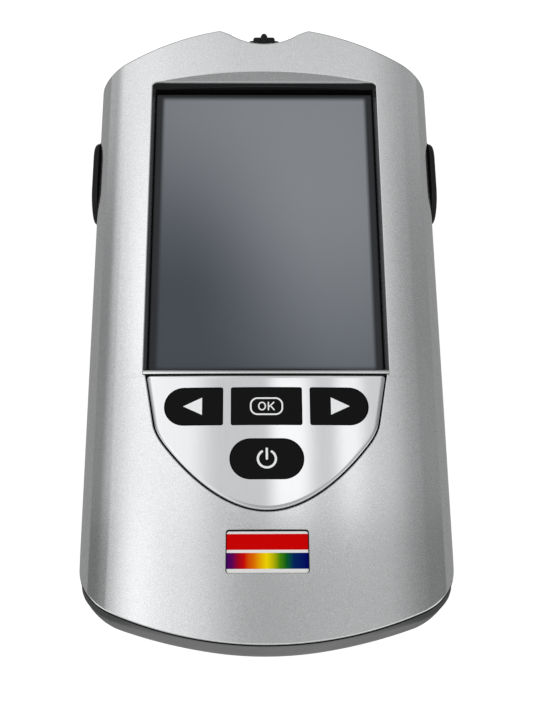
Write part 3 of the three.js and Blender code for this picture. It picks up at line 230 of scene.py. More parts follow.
def linear(colour):
    """Turns a colour as seen, 0 to 255, into the shader's linear red, green, blue and alpha."""
    share = np.asarray(colour, float) / 255
    bent = np.where(share <= 0.04045, share / 12.92, ((share + 0.055) / 1.055) ** 2.4)
    return (*bent.tolist(), 1.0)


def feed(tree, node, inputs):
    """Gives a node's inputs their values: sockets are linked, a tuple is a colour as seen, and a
    number or a list goes in as it is."""
    for name, value in inputs.items():
        if isinstance(value, bpy.types.NodeSocket):
            tree.links.new(value, node.inputs[name])
        else:
            node.inputs[name].default_value = linear(value) if isinstance(value, tuple) else value


def new_node(tree, kind, inputs, **settings):
    """A shader node of that kind with its settings and inputs."""
    node = tree.nodes.new("ShaderNode" + kind)
    for setting, value in settings.items():
        setattr(node, setting, value)
    feed(tree, node, inputs)
    return node


def math_node(tree, operation, *values):
    """One Math node, whose inputs are sockets or numbers."""
    return new_node(tree, "Math", dict(enumerate(values)), operation=operation).outputs[0]


def mixed(tree, amount, first, second, blend="MIX"):
    """first where amount is 0 and second where it is 1; each is a colour as seen or a socket."""
    return new_node(tree, "Mix", {"Factor": amount, "A": first, "B": second}, data_type="RGBA",
                    blend_type=blend).outputs["Result"]


def tinted(tree, colour, amount):
    """The colour times a grey amount."""
    return mixed(tree, 1, colour, amount, "MULTIPLY")


def object_place(tree):
    """Object coordinates, and their X, Y and Z."""
    place = new_node(tree, "TexCoord", {}).outputs["Object"]
    return place, new_node(tree, "SeparateXYZ", {0: place}).outputs


def grain_noise(tree, place, cell, detail=2.0, stretch=(1, 1, 1)):
    """Noise from 0 to 1 whose cells are that many millimetres across."""
    mapping = new_node(tree, "Mapping", {"Scale": list(stretch), "Vector": place})
    return new_node(tree, "TexNoise", {"Scale": 1 / (cell * MM), "Detail": detail,
                                       "Vector": mapping.outputs[0]}).outputs[0]


def spread(tree, value, low, high):
    """Maps 0..1 to low..high."""
    return new_node(tree, "MapRange", {"To Min": low, "To Max": high, "Value": value}).outputs[0]


def bumped(tree, height, depth, strength=1.0):
    """A bump from a height of 0 to 1 that stands for depth millimetres."""
    return new_node(tree, "Bump", {"Distance": depth * MM, "Strength": strength,
                                   "Height": height}).outputs[0]


def moulded(name, colour, roughness, cell=0.35, depth=0.01, tone=0.05, metallic=0.0, wear=0.06,
            specular=0.5):
    """Moulded or machined finish: an eroded grain that mottles colour, gloss and height."""
    material, tree, principled = shader(name)
    place, _ = object_place(tree)
    fine, broad = grain_noise(tree, place, cell), grain_noise(tree, place, 9.0, 3.0)
    mottle = math_node(tree, "ADD", spread(tree, fine, 1 - tone, 1 + tone),
                       spread(tree, broad, -tone / 2, tone / 2))
    feed(tree, principled, {
        "Base Color": tinted(tree, colour, mottle), "Metallic": metallic,
        "Roughness": spread(tree, broad, roughness - wear, roughness + wear),
        "Specular IOR Level": specular, "Normal": bumped(tree, fine, depth)})
    return material


def satin_paint():
    """Silver paint: bright flakes a quarter of a millimetre across that each turn the light a little
    differently."""
    material, tree, principled = shader("satin_paint")
    place, _ = object_place(tree)
    flake, cloud = grain_noise(tree, place, 0.26, 4.0), grain_noise(tree, place, 1.6, 3.0)
    shade = math_node(tree, "MULTIPLY", spread(tree, flake, 0.68, 1.32), spread(tree, cloud, 0.96, 1.04))
    feed(tree, principled, {
        "Base Color": tinted(tree, (224, 225, 226), shade), "Metallic": 0.94,
        "Roughness": spread(tree, flake, 0.1, 0.15), "Normal": bumped(tree, flake, 0.003, 0.5)})
    return material


silver = satin_paint()
# Black: the bare plastic under the cover, and painted shade in the gaps and grooves where the parts meet
edge_black = moulded("bare_and_painted_shade", (9, 9, 10), 0.7, specular=0.0)
# Dark grey: painted shade on the window's head wall and round the label's recess
wall_shade = moulded("painted_wall_shade", (40, 40, 41), 0.6, specular=0.1)

tail_centre_y = TAIL_ARC - HALF_LENGTH
tail_corner_x = HALF_WIDTH - TAIL_CORNER
tail_turn = np.arcsin(tail_corner_x / (TAIL_ARC - TAIL_CORNER))
tail_corner_y = tail_centre_y - (TAIL_ARC - TAIL_CORNER) * np.cos(tail_turn)
head_centre_y = HALF_LENGTH - np.sqrt(HEAD_ARC**2 - HORN_X**2)
head_corner_x = HALF_WIDTH - HEAD_CORNER
head_turn = np.arccos(head_corner_x / (HEAD_ARC - HEAD_CORNER))
head_corner_y = head_centre_y + (HEAD_ARC - HEAD_CORNER) * np.sin(head_turn)
notch_turn = np.arcsin(NOTCH_MOUTH / NOTCH_ARC)


def panel_half(count=160):
    """Right half of the key panel's shield: cubic sweep from the tail tip, quadratic bend, straight
    side. Its points are shares of the panel's half width and of its height from the top down."""
    def at(*shares):
        """Points (x, y) from their shares."""
        return [(x * PANEL_X, PANEL_HIGH - y * PANEL_HEIGHT) for x, y in shares]

    sweep = curve(at((0, 1), (0.318, 1), (0.609, 0.768), (0.812, 0.545)), count)
    bend = curve(at((0.812, 0.545), (0.897, 0.455), (0.922, 0.375)), count // 4)
    return chained([sweep, bend, np.array(at((0.922, 0.375), (1, 0)))])


def upright(x, low, high, count):
    """Straight run of points up the line at x."""
    return spaced([(x, low), (x, high)], count)


def toward(start, end, length):
    """The point a length away from start on the way to end."""
    return start + (end - start) / np.linalg.norm(end - start) * length


# Each stretch of the cover's outline is drawn with as many points as the stretch of the opening that
# it faces, so that the field between them is a grid. The stops are where stretches meet.
SEAT_STOP, BAR_STOP, CORNER_STOP, HORN_STOPS = -17.0, -16.2, 60.0, (9.4, 7.8)
scan_low, scan_high = SCAN_Y - SCAN_STRAIGHT - SCAN_ROUND, SCAN_Y + SCAN_STRAIGHT + SCAN_ROUND
swing = np.linspace(0, quarter, 15)
scan_ys = np.concatenate([
    SCAN_Y - SCAN_STRAIGHT - SCAN_ROUND * np.cos(swing),
    np.linspace(SCAN_Y - SCAN_STRAIGHT, SCAN_Y + SCAN_STRAIGHT, 7)[1:-1],
    SCAN_Y + SCAN_STRAIGHT + SCAN_ROUND * np.sin(swing),
])
head_line = arc(0, head_centre_y, HEAD_ARC, head_turn, np.arccos(HORN_X / HEAD_ARC), 200)
notch_line = arc(0, NOTCH_Y + NOTCH_ARC, NOTCH_ARC, notch_turn - quarter, -quarter, 60)
horn = head_line[-1]
horn_in, horn_out = toward(horn, head_line[-2], HORN_ROUND), toward(horn, notch_line[0], HORN_ROUND)
notch_line = np.concatenate([[horn_out], notch_line])
head_line = np.concatenate([head_line[head_line[:, 0] > horn_in[0]], [horn_in]])
shield = panel_half()
BAR_LINE = (PANEL_X, PANEL_HIGH), (PANEL_X / 2, PANEL_HIGH - PANEL_BOW), (0, PANEL_HIGH - PANEL_BOW)
shield_seat = both_halves(chained([shield, curve(BAR_LINE, 40)]))
shield_seat = (shield_seat + outward(shield_seat) * PANEL_GAP)[:len(shield)]
shield_seat[0, 0] = 0
shield_seat[-1] = PANEL_X + PANEL_GAP, WINDOW_LOW
seat_run = spaced(shield_seat, 1000)
window_corner = WINDOW_X - WINDOW_CORNER, WINDOW_HIGH - WINDOW_CORNER


def along_top(start, end):
    """Straight run along the window's head edge."""
    return spaced([(start, WINDOW_HIGH), (end, WINDOW_HIGH)], 2)


pairs = [
    (arc(0, tail_centre_y, TAIL_ARC, -quarter, tail_turn - quarter, 44), seat_run[:401]),
    (arc(tail_corner_x, tail_corner_y, TAIL_CORNER, tail_turn - quarter, 0, 52), seat_run[400:701]),
    (upright(HALF_WIDTH, tail_corner_y, SEAT_STOP, 30), seat_run[700:]),
    (upright(HALF_WIDTH, SEAT_STOP, BAR_STOP, 2), [seat_run[-1], (WINDOW_X, WINDOW_LOW)]),
    (upright(HALF_WIDTH, BAR_STOP, scan_low, 36), upright(WINDOW_X, WINDOW_LOW, scan_low, 2)),
    (np.stack([np.full(len(scan_ys), HALF_WIDTH), scan_ys], 1), None),
    (upright(HALF_WIDTH, scan_high, CORNER_STOP, 8), upright(WINDOW_X, scan_high, window_corner[1], 2)),
    (chained([upright(HALF_WIDTH, CORNER_STOP, head_corner_y, 2),
              arc(head_corner_x, head_corner_y, HEAD_CORNER, 0, head_turn, 12)]),
     arc(*window_corner, WINDOW_CORNER, 0, quarter, 8)),
    (spaced(head_line, 44), along_top(window_corner[0], HORN_STOPS[0])),
    (curve([horn_in, horn, horn_out], 6), along_top(*HORN_STOPS)),
    (spaced(notch_line, 16), along_top(HORN_STOPS[1], 0)),
]
cover_edge = both_halves(chained([line for line, _ in pairs]))
opening = both_halves(chained([
    np.stack([np.full(len(line), WINDOW_X), line[:, 1]], 1) if facing is None
    else spaced(facing, len(line) - 1) for line, facing in pairs]))
edge_out, opening_out = outward(cover_edge), outward(opening)
# Walls behind the horns and the head corners are thinner, so that their inner lines don't cross:
# the share of an inset that is left is (a + b distance) / inset at the nearest sharp point
SHARP_INSET, SHARP_RISE, DEEPEST_INSET = 0.9, 0.5, 2.5
corner_tip = arc(head_corner_x, head_corner_y, HEAD_CORNER, head_turn / 2, 0, 1)[0]
from_sharp = np.min([np.linalg.norm(cover_edge - point * [side, 1], axis=1)
                     for side in (-1, 1) for point in (horn, corner_tip)], axis=0)
room = np.minimum(1, (SHARP_INSET + SHARP_RISE * from_sharp) / DEEPEST_INSET)[:, None]
TOUCH, HAIR, TAIL_OVER = 0.01, 0.001, 0.5
on_shield = opening[:, 1] < WINDOW_LOW + TOUCH
on_top = opening[:, 1] > WINDOW_HIGH - TOUCH
on_scan = (np.abs(cover_edge[:, 1] - SCAN_Y) < scan_high - SCAN_Y - HAIR) & (
    np.abs(cover_edge[:, 0]) > HALF_WIDTH - HAIR)
at_tail = cover_edge[:, 1] < tail_corner_y + TAIL_OVER


def cover_surface(plan):
    """z = the face's height, or the sloping sill on the head side of the window where that is lower:
    z = z(window edge) + (y - y(window edge)) * slope. The lower of the two is taken softly, as
    -k ln(exp(-face / k) + exp(-sill / k)), which rounds their crease."""
    face = face_height(plan[:, 0])
    sill = face_height(WINDOW_X) + (plan[:, 1] - WINDOW_HIGH) * SILL_SLOPE
    near = (np.abs(plan[:, 0]) <= WINDOW_X) & (plan[:, 1] >= WINDOW_HIGH - TOUCH)
    return np.where(near, -CREASE_SOFT * np.logaddexp(-face / CREASE_SOFT, -sill / CREASE_SOFT), face)


def on_cover(plan, drop=0.0):
    """Points (x, y) laid on the cover's surface, a drop below it."""
    return lifted(plan, cover_surface(plan) - drop)


def scan_rise(y):
    """Half height of the scan button's hole at y: sqrt(r^2 - (|y - yc| - straight)^2) at its ends."""
    past = np.maximum(0, np.abs(y - SCAN_Y) - SCAN_STRAIGHT)
    return np.sqrt(np.maximum(0, SCAN_ROUND**2 - past**2))


edge_low = np.where(np.abs(cover_edge[:, 0]) < HALF_WIDTH - EDGE_THICK,
                    face_height(cover_edge[:, 0], EDGE_THICK), SEAM_Z)
edge_low = np.where(on_scan, SEAM_Z + scan_rise(cover_edge[:, 1]), edge_low)
edge_round = np.select([cover_edge[:, 1] > CORNER_STOP, at_tail], [HEAD_EDGE_ROUND, TAIL_EDGE_ROUND],
                       SIDE_EDGE_ROUND)

# The crease of the sill lies where the slope meets the face, and elsewhere a little way out
crease_reach = np.where(on_top, np.maximum(
    CREASE_OUT, (face_height(opening[:, 0]) - face_height(WINDOW_X)) / SILL_SLOPE), CREASE_OUT)
crease = opening + opening_out * crease_reach[:, None]
crease_in, crease_end = crease - opening_out * CREASE_HALF, crease + opening_out * CREASE_HALF
edge_start = cover_edge - edge_out * edge_round[:, None]
opening_end = opening + opening_out * OPENING_ROUND

# Rows of the cover from the foot of the window's wall out over the face, down its edge and back,
# denser towards the edge
DENSER = 1.8
fillet = np.linspace(0, quarter, 6)
foot_lean = np.where(on_shield, 0, WALL_LEAN)
foot_z = np.where(on_shield, face_height(opening[:, 0]) - SEAT_DEPTH, face_height(WINDOW_X) - WALL_DEPTH)
wall_top = cover_surface(opening) - OPENING_ROUND
rows = [lifted(opening - opening_out * (foot_lean * t)[:, None], wall_top + (foot_z - wall_top) * t)
        for t in np.linspace(1, 0, 5)]
rows += [on_cover(opening + opening_out * OPENING_ROUND * (1 - np.cos(turn)),
                  OPENING_ROUND * (1 - np.sin(turn))) for turn in fillet[1:]]
rows += [on_cover(plan) for plan in slid(opening_end, crease_in, 4) + slid(crease_in, crease_end, 4)]
rows += [on_cover(crease_end + (edge_start - crease_end) * t)
         for t in 1 - (1 - np.linspace(0, 1, 49)[1:]) ** DENSER]
edge_row = len(rows) - 1
rows += [on_cover(edge_start + edge_out * (edge_round * np.sin(turn))[:, None],
                  edge_round * (1 - np.cos(turn))) for turn in fillet[1:]]
outer_top = rows[-1][:, 2]
rows += [lifted(cover_edge, z) for z in slid(outer_top, edge_low, 6)]
tongue = np.where(on_scan, TONGUE_AT_SCAN, TONGUE_LONG)
rows += [lifted(cover_edge - edge_out * inset * room, edge_low - tongue * down)
         for inset, down in TONGUE_INSETS]
under_start = cover_edge - edge_out * DEEPEST_INSET * room
rows += [lifted(plan, face_height(plan[:, 0], COVER_WALL))
         for plan in [under_start] + slid(under_start, opening + opening_out * UNDER_OUT, 8)]
# A narrow lip runs round the foot of the window's wall; it is black as painted shade of the gap between
# the wall and the glass
lip = np.where(on_shield, SEAT_LIP_WIDE, WALL_LEAN + LIP_WIDE)
rows += [lifted(opening - opening_out * (lip - LIP_EDGE * sink)[:, None],
                foot_z - sink * np.where(on_shield, 1, LIP_THICK)) for sink in (1.0, LIP_SUNK)]
front_cover = skinned("front_cover", rows, "housing", "silver_paint", silver, edge_black, wall_shade,
                      ring=True)
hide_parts("front_shell")

# Inside the key panel's seat and round the foot of the window's wall the faces are black as painted
# shade of the gaps, under the edge the bare black plastic shows, at the tail a black line of painted
# shade parts the paint from the rear case, and the window's head wall is painted dark as painted shade
WALL_STRIPS, LIP_STRIPS, SHALLOW_SIDE = 4, 3, 1.5
row = np.arange(len(rows))[:, None]
shallow_from, last_outside = edge_row + 2, edge_row + 10
black_and_shaded = on_shield & ((row <= WALL_STRIPS) | (row >= len(rows) - LIP_STRIPS)) | (row > last_outside)
black_and_shaded |= at_tail & (outer_top - edge_low < SHALLOW_SIDE) & (row >= shallow_from)
black_and_shaded |= at_tail & (row >= last_outside)
# The window's head wall and its corners get the dark grey finish, which is painted shade
head_wall_shade = (opening[:, 1] > window_corner[1]) & (row < WALL_STRIPS)
painted(front_cover, np.where(head_wall_shade, 2, black_and_shaded))

LABEL_X, LABEL_Y, LABEL_CORNER, LABEL_FLOOR = 8.95, (-61.55, -52.1), 0.7, 45.1
# The recess's walls and floor take the dark grey finish, a painted shadow line round the label
cut_out(front_cover, prism(rounded_box((-LABEL_X, LABEL_X), LABEL_Y, LABEL_CORNER), LABEL_FLOOR,
                           FACE_Z + 2), 2)

# Bar between the window and the key panel: a narrow painted strip of the same cover, bowed
# towards the tail, whose ends run into the cover's sides.
BAR_OVER, BAR_GAP, BAR_WIDE, BAR_TAPER, BAR_ROUND, BAR_SUNK, BAR_DEEP = (
    0.05, 0.65, 0.72, 0.17, 0.2, 0.012, 2.4)
bar_x = np.linspace(-WINDOW_X - BAR_OVER, WINDOW_X + BAR_OVER, 61)
bow = 1 - (bar_x / PANEL_X) ** 2
bar_low = PANEL_HIGH + BAR_GAP - PANEL_BOW * bow
bar_high = bar_low + BAR_WIDE - BAR_TAPER * bow
lines = []
for turn in np.linspace(0, 2 * quarter, 11):
    shift = -BAR_ROUND * (1 - np.abs(np.cos(turn))) * np.sign(quarter - turn + 1e-9)
    lines.append((np.where(turn < quarter, bar_high, bar_low) + shift,
                  BAR_ROUND * (1 - np.sin(turn)) + BAR_SUNK))
lines += [(bar_low, BAR_DEEP), (bar_high, BAR_DEEP)]
section = np.stack([on_face(np.stack([bar_x, y], 1), drop) for y, drop in lines])
skinned("cover_bar", section[::-1].transpose(1, 0, 2), "housing", "silver_paint", silver)

# Rear case: a deep tub of grey metallic plastic, drawn in on all sides towards its flat back. Its rim
# follows the cover's edge a hair below it, and the cover's tongue sits inside the rim's step.
BACK_Z, CASE_WALL, PARTING, RIM_ROUND, RIM_STEP, RIM_IN = 0.8, 2.0, 0.08, 0.1, 1.6, (0.9, 0.84)
GROOVE_DEEP, GROOVE_HIGH, BULGE, BULGE_FADE = 0.4, 0.5, 0.85, 3.5
BULGE_X, BULGE_END = (12.0, 33.0), 9.0
SIDE_ROUND, TAIL_ROUND, HEAD_ROUND = (12.0, 13.984), (24.0, 29.992), (14.0, 17.986)
NOTCH_FADE = (31.0, 36.0)


def narrowed(z, inset, round_in, round_up, half):
    """Share left of a half length at height z: 1 - a (1 - sqrt(1 - l^2)) / half, where the quarter
    ellipse is a across and b up, and l = (base + b - z) / b is how far down it z lies."""
    inward, up = round_in - inset, round_up - inset
    left = np.clip((BACK_Z + inset + up - z) / up, 0, 1)
    return 1 - inward * (1 - np.sqrt(1 - left**2)) / half


def below_edge(low, gap):
    """Height that stays a gap under the cover's edge, also sideways along it:
    min over neighbours of z - sqrt(gap^2 - distance^2)."""
    run = np.cumsum(np.linalg.norm(np.diff(cover_edge, axis=0, prepend=cover_edge[-1:]), axis=1))
    apart = np.abs(run[:, None] - run[None, :])
    apart = np.minimum(apart, run[-1] - apart)
    reach = np.sqrt(np.maximum(0, gap**2 - apart**2))
    return np.where(apart < gap, low[None, :] - reach, FACE_Z).min(1)


rim = np.minimum(below_edge(edge_low, PARTING),
                 np.where(on_scan, SEAM_Z - scan_rise(cover_edge[:, 1]), FACE_Z))


def smooth(value, low, high):
    """The smooth step s(t) = t^2 (3 - 2 t), where t goes from 0 at low to 1 at high."""
    share = np.clip((value - low) / (high - low), 0, 1)
    return share * share * (3 - 2 * share)


def tail_bulge(z):
    """How far the case stands out past the cover at its two tail corners: b u^2 s(v) s(w), where u
    grows with |x|, v with the way ahead of the side's end and w with the way below the rim."""
    across = np.clip((np.abs(cover_edge[:, 0]) - BULGE_X[0]) / (BULGE_X[1] - BULGE_X[0]), 0, 1)
    return BULGE * across**2 * smooth(tail_corner_y - cover_edge[:, 1], 0, BULGE_END) * smooth(
        rim - z, 0, BULGE_FADE)


def hull_ring(z, inset=0.0):
    """The plan moved in by an inset and narrowed for height z, with the notch filled below it:
    y goes from the filled edge to the notch by the smooth step of z."""
    z = np.broadcast_to(np.asarray(z, float), (len(cover_edge),))
    inset = inset * room[:, 0]
    plan = cover_edge - edge_out * (inset - tail_bulge(z))[:, None]
    filled = np.minimum(head_centre_y + np.sqrt((HEAD_ARC - inset) ** 2 - plan[:, 0] ** 2),
                        HALF_LENGTH - inset)
    horns = (plan[:, 1] > 0) & (np.abs(plan[:, 0]) <= HORN_X + HORN_ROUND)
    y = np.where(horns, filled + (plan[:, 1] - filled) * smooth(z, *NOTCH_FADE), plan[:, 1])
    x = plan[:, 0] * narrowed(z, inset, *SIDE_ROUND, HALF_WIDTH)
    y = y * np.where(y > 0, narrowed(z, inset, *HEAD_ROUND, HALF_LENGTH),
                     narrowed(z, inset, *TAIL_ROUND, HALF_LENGTH))
    return np.stack([x, y, z], 1)


case_paint = moulded("case_paint", (70, 71, 72), 0.5, 0.25, 0.01, 0.14, 0.2, specular=0.15)
case_floor, step_z = BACK_Z + CASE_WALL, rim - RIM_STEP
rows = [hull_ring(case_floor + (step_z - case_floor) * t**2, CASE_WALL) for t in np.linspace(0, 1, 40)]
rows += [hull_ring(step_z, RIM_IN[0]), hull_ring(rim, RIM_IN[1])]
# A groove under the cover's edge parts the two halves; it is painted black as painted shade in the
# groove
groove_row = len(rows)
rows.append(hull_ring(rim, GROOVE_DEEP))
rows += [hull_ring(rim - GROOVE_HIGH - RIM_ROUND * (1 - np.cos(turn)), RIM_ROUND * (1 - np.sin(turn)))
         for turn in fillet]
outer_top = rows[-1][:, 2]
rows += [hull_ring(BACK_Z + (outer_top - BACK_Z) * t) for t in (1 - np.linspace(0, 1, 73)[1:]) ** 2]
rear_case = skinned("rear_case", rows, "housing", "grey_plastic", case_paint, edge_black)
row = np.arange(len(rows) - 1)
# The groove's faces take the black finish, which is painted shade
painted(rear_case, np.repeat((row >= groove_row - 2) & (row <= groove_row), len(cover_edge)))
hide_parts("rear_shell")


def turned(solid, way):
    """A solid drawn with +Z as the way out, turned so that the way out is -Y, +Y, -X or +X."""
    u, v, w = solid[0].T
    ways = {"-y": (u, -w, v), "+y": (-u, w, v), "-x": (-w, -u, v), "+x": (w, u, v)}
    return np.stack(ways[way], 1), solid[1]


def circle(x, y, radius, count=48):
    """(x + r cos t, y + r sin t) once round."""
    return arc(x, y, radius, 0, 4 * quarter, count)[:-1]


def disc(x, y, radius, low, high, count=48):
    """A round bar."""
    return prism(circle(x, y, radius, count), low, high)


def box(x, y, z):
    """A plain box."""
    return prism(np.array([(x[0], y[0]), (x[1], y[0]), (x[1], y[1]), (x[0], y[1])], float), *z)


RECESS_X, RECESS_Y, RECESS_CORNER, RECESS_HIGH = 21.5, (-41.0, 16.9), 3.0, 3.2
SCREWS = [(side * 33.0, y) for side in (-1, 1) for y in (-46.0, 59.0)]
SCREW_SEAT, SCREW_WELL = 16.0, 2.4
FEET = [(side * 23.5, y) for side in (-1, 1) for y in (-47.0, 53.0)]
FOOT_SEAT, FOOT_WELL = 1.6, 4.3
VENT_X, VENT_Y, VENT_HALF, VENT_DEEP, UNDER = (16, 22), (31, 34, 37), 0.75, 4, -4
DOCK_X, DOCK_Y, DOCK_Z = 10.0, -67.6, (18.0, 24.0)
READER_X, READER_Z, READER_IN_X, READER_IN_Z = 8.8, (19.49, 27.09), 7.5, (20.79, 25.79)
READER_CORNER, READER_FACE, READER_DEPTH, OUTSIDE = 0.4, 74.6, (66, 76), 90
PORT_X, PORT_Y, PORT_Z = 4.75, 68, 40.7
cut_out(rear_case, joined(
    prism(rounded_box((-RECESS_X, RECESS_X), RECESS_Y, RECESS_CORNER), UNDER, RECESS_HIGH),
    *[disc(x, y, SCREW_WELL, UNDER, SCREW_SEAT) for x, y in SCREWS],
    *[disc(x, y, FOOT_WELL, UNDER, FOOT_SEAT) for x, y in FEET],
    *[box(VENT_X, (y - VENT_HALF, y + VENT_HALF), (UNDER, VENT_DEEP)) for y in VENT_Y],
    box((-DOCK_X, DOCK_X), (-OUTSIDE, DOCK_Y), DOCK_Z),
    turned(prism(rounded_box((-READER_X, READER_X), READER_Z, READER_CORNER), READER_FACE, OUTSIDE),
           "+y"),
    box((-PORT_X, PORT_X), (PORT_Y, OUTSIDE), (PORT_Z, FACE_Z + 2)),
))
cut_out(rear_case, turned(prism(rounded_box((-READER_IN_X, READER_IN_X), READER_IN_Z, READER_CORNER),
                                *READER_DEPTH), "+y"))

# Inside of the rear case: the bay round the battery with the seat of its cover, the wells of the four
# case screws, the dock socket's walls and the board's posts, all moulded with the case.
BAY_X, BAY_Y, BAY_ROOF, BAY_WALL, BAY_SEAT, BAY_LOW = 19.2, (-38.7, 14.6), 18.4, 1.4, 2.8, 1.4
WELL_OUT, WELL_IN, WELL_TOP, POST, POST_TOP, SOCKET_WALL = 4.2, 1.3, 31.7, 2.6, 25.3, 1.2
POST_X, POST_Y, BELOW, SOCKET_CORNER, LEDGE_OVER = (-26, 26), (-56, 44), -2, 0.3, 0.03


def bay_ring(grow, z, corner=1.0):
    """One level of the bay's wall: its rounded rectangle, grown, at height z."""
    x, y = BAY_X + grow, (BAY_Y[0] - grow, BAY_Y[1] + grow)
    return lifted(rounded_box((-x, x), y, corner), z)


def socket_ring(grow, depth):
    """One level of the dock socket: its rectangle in X and Z, grown, at a depth along Y."""
    x, z = DOCK_X + grow, (DOCK_Z[0] - grow, DOCK_Z[1] + grow)
    return lifted(rounded_box((-x, x), z, SOCKET_CORNER), depth)


ledge = RECESS_X - BAY_X + LEDGE_OVER
bay = solid_of([
    bay_ring(BAY_WALL, BAY_ROOF + BAY_WALL), bay_ring(BAY_WALL, BAY_SEAT + BAY_WALL),
    *[bay_ring(ledge + wall, z, RECESS_CORNER) for wall, z in (
        (BAY_WALL, BAY_SEAT + BAY_WALL), (BAY_WALL, BAY_LOW), (0, BAY_LOW), (0, BAY_SEAT))],
    bay_ring(0, BAY_SEAT), bay_ring(0, BAY_ROOF)])
wells = [solid_of([lifted(circle(x, y, r), z) for r, z in (
    (WELL_IN, WELL_TOP), (WELL_OUT, WELL_TOP), (WELL_OUT, BELOW), (SCREW_WELL, BELOW),
    (SCREW_WELL, SCREW_SEAT), (WELL_IN, SCREW_SEAT))], ring=True) for x, y in SCREWS]
posts = [disc(x, y, POST, BELOW, POST_TOP, 24) for x in POST_X for y in POST_Y]
socket = solid_of([socket_ring(grow, depth) for grow, depth in (
    (0, -DOCK_Y), (0, OUTSIDE), (SOCKET_WALL, OUTSIDE), (SOCKET_WALL, -DOCK_Y - SOCKET_WALL))])
fittings = new_piece("case_fittings", *joined(bay, *wells, *posts, turned(socket, "-y")),
                     "housing", "grey_plastic", case_paint)
# Slots in the bay's tail wall, where the battery cover's tongues turn
TONGUE_X, TONGUE_HALF, TONGUE_ROOM = (-13.0, 13.0), 3.0, 0.3
SLOT_Y, SLOT_Z = (-43.6, -38.5), (2.75, 6.5)
slot_half = TONGUE_HALF + TONGUE_ROOM
cut_out(fittings, joined(*[box((x - slot_half, x + slot_half), SLOT_Y, SLOT_Z) for x in TONGUE_X]))
# All of it ends inside the case's wall
HALF_WALL = 1.0
low = BACK_Z + HALF_WALL
cut_out(fittings, solid_of([hull_ring(low + (SEAM_Z - low) * t**2, HALF_WALL)
                            for t in np.linspace(1, 0, 24)]), operation="INTERSECT")

# Key panel: a shield of polished metallised plastic that follows the crown of the cover and lies in a
# seat of it with a black gap all round. It is clipped in from behind and has four holes for the keys.
PANEL_THICK, PANEL_ROUND, CORNER_ROUND, CORNER_DIP, CORE = 1.7, 0.32, 1.0, 0.04, 0.02
PANEL_MIDDLE = np.array([0.0, -29.0])


def polished_panel():
    """Metallised plastic: near mirror, with a faint orange peel and hairline wear in its gloss."""
    material, tree, principled = shader("polished_panel")
    place, _ = object_place(tree)
    peel, hair = grain_noise(tree, place, 5.0, 1.0), grain_noise(tree, place, 0.5, 3.0, (1, 0.12, 1))
    feed(tree, principled, {
        "Base Color": tinted(tree, (226, 227, 229), spread(tree, hair, 0.97, 1.03)),
        "Roughness": spread(tree, hair, 0.05, 0.08), "Metallic": 0.92,
        "Normal": bumped(tree, peel, 0.004)})
    return material


def drawn_in(plan, middle, share):
    """The plan shrunk towards a middle to a share of its size: m + (p - m) t."""
    return middle + (plan - middle) * share


corner = np.array([PANEL_X, PANEL_HIGH])
panel_ring = both_halves(spaced(np.concatenate([
    shield[:-1],
    curve([toward(corner, shield[-2], CORNER_ROUND), corner, corner - [CORNER_ROUND, CORNER_DIP]], 8),
    curve(BAR_LINE, 40)[2:]]), 260))
panel_out = outward(panel_ring)
panel_inner = panel_ring - panel_out * PANEL_ROUND
rows = [on_face(drawn_in(panel_inner, PANEL_MIDDLE, t)) for t in np.linspace(CORE, 1, 30)]
rows += [on_face(panel_inner + panel_out * PANEL_ROUND * np.sin(turn), PANEL_ROUND * (1 - np.cos(turn)))
         for turn in fillet[1:]]
rows += [on_face(drawn_in(panel_ring, PANEL_MIDDLE, t), PANEL_THICK) for t in np.linspace(1, CORE, 12)]
key_panel = skinned("key_panel", rows, "housing", "gloss_silver", polished_panel())
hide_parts("keypad_fascia")

# Keys: black rubber caps under a hard film, flush with the panel and crowned with it. A flange behind
# the panel keeps each one in, and the rubber mat below pushes it out.
KEY_ROW, POWER_ROW = (-28.43, -19.87), (-40.83, -31.85)
KEY_OUT, KEY_IN, KEY_OK_X, POWER_X, KEY_CORNER = 22.73, 9.866, 7.777, 8.031, 0.3
FLANGE, FLANGE_Z, KEY_ROUND, KEY_SUNK, KEY_BOW = 0.62, (42.21, 43.01), 0.14, 0.03, 0.0004
KEY_CLEARANCE, KEY_HOLE_Z, END_TRIM = 0.2, (38, 50), 0.03


def bowed(plan):
    """The plan bent as the key row is, up towards its ends: y + b x^2."""
    return plan + np.stack([np.zeros(len(plan)), KEY_BOW * plan[:, 0] ** 2], 1)


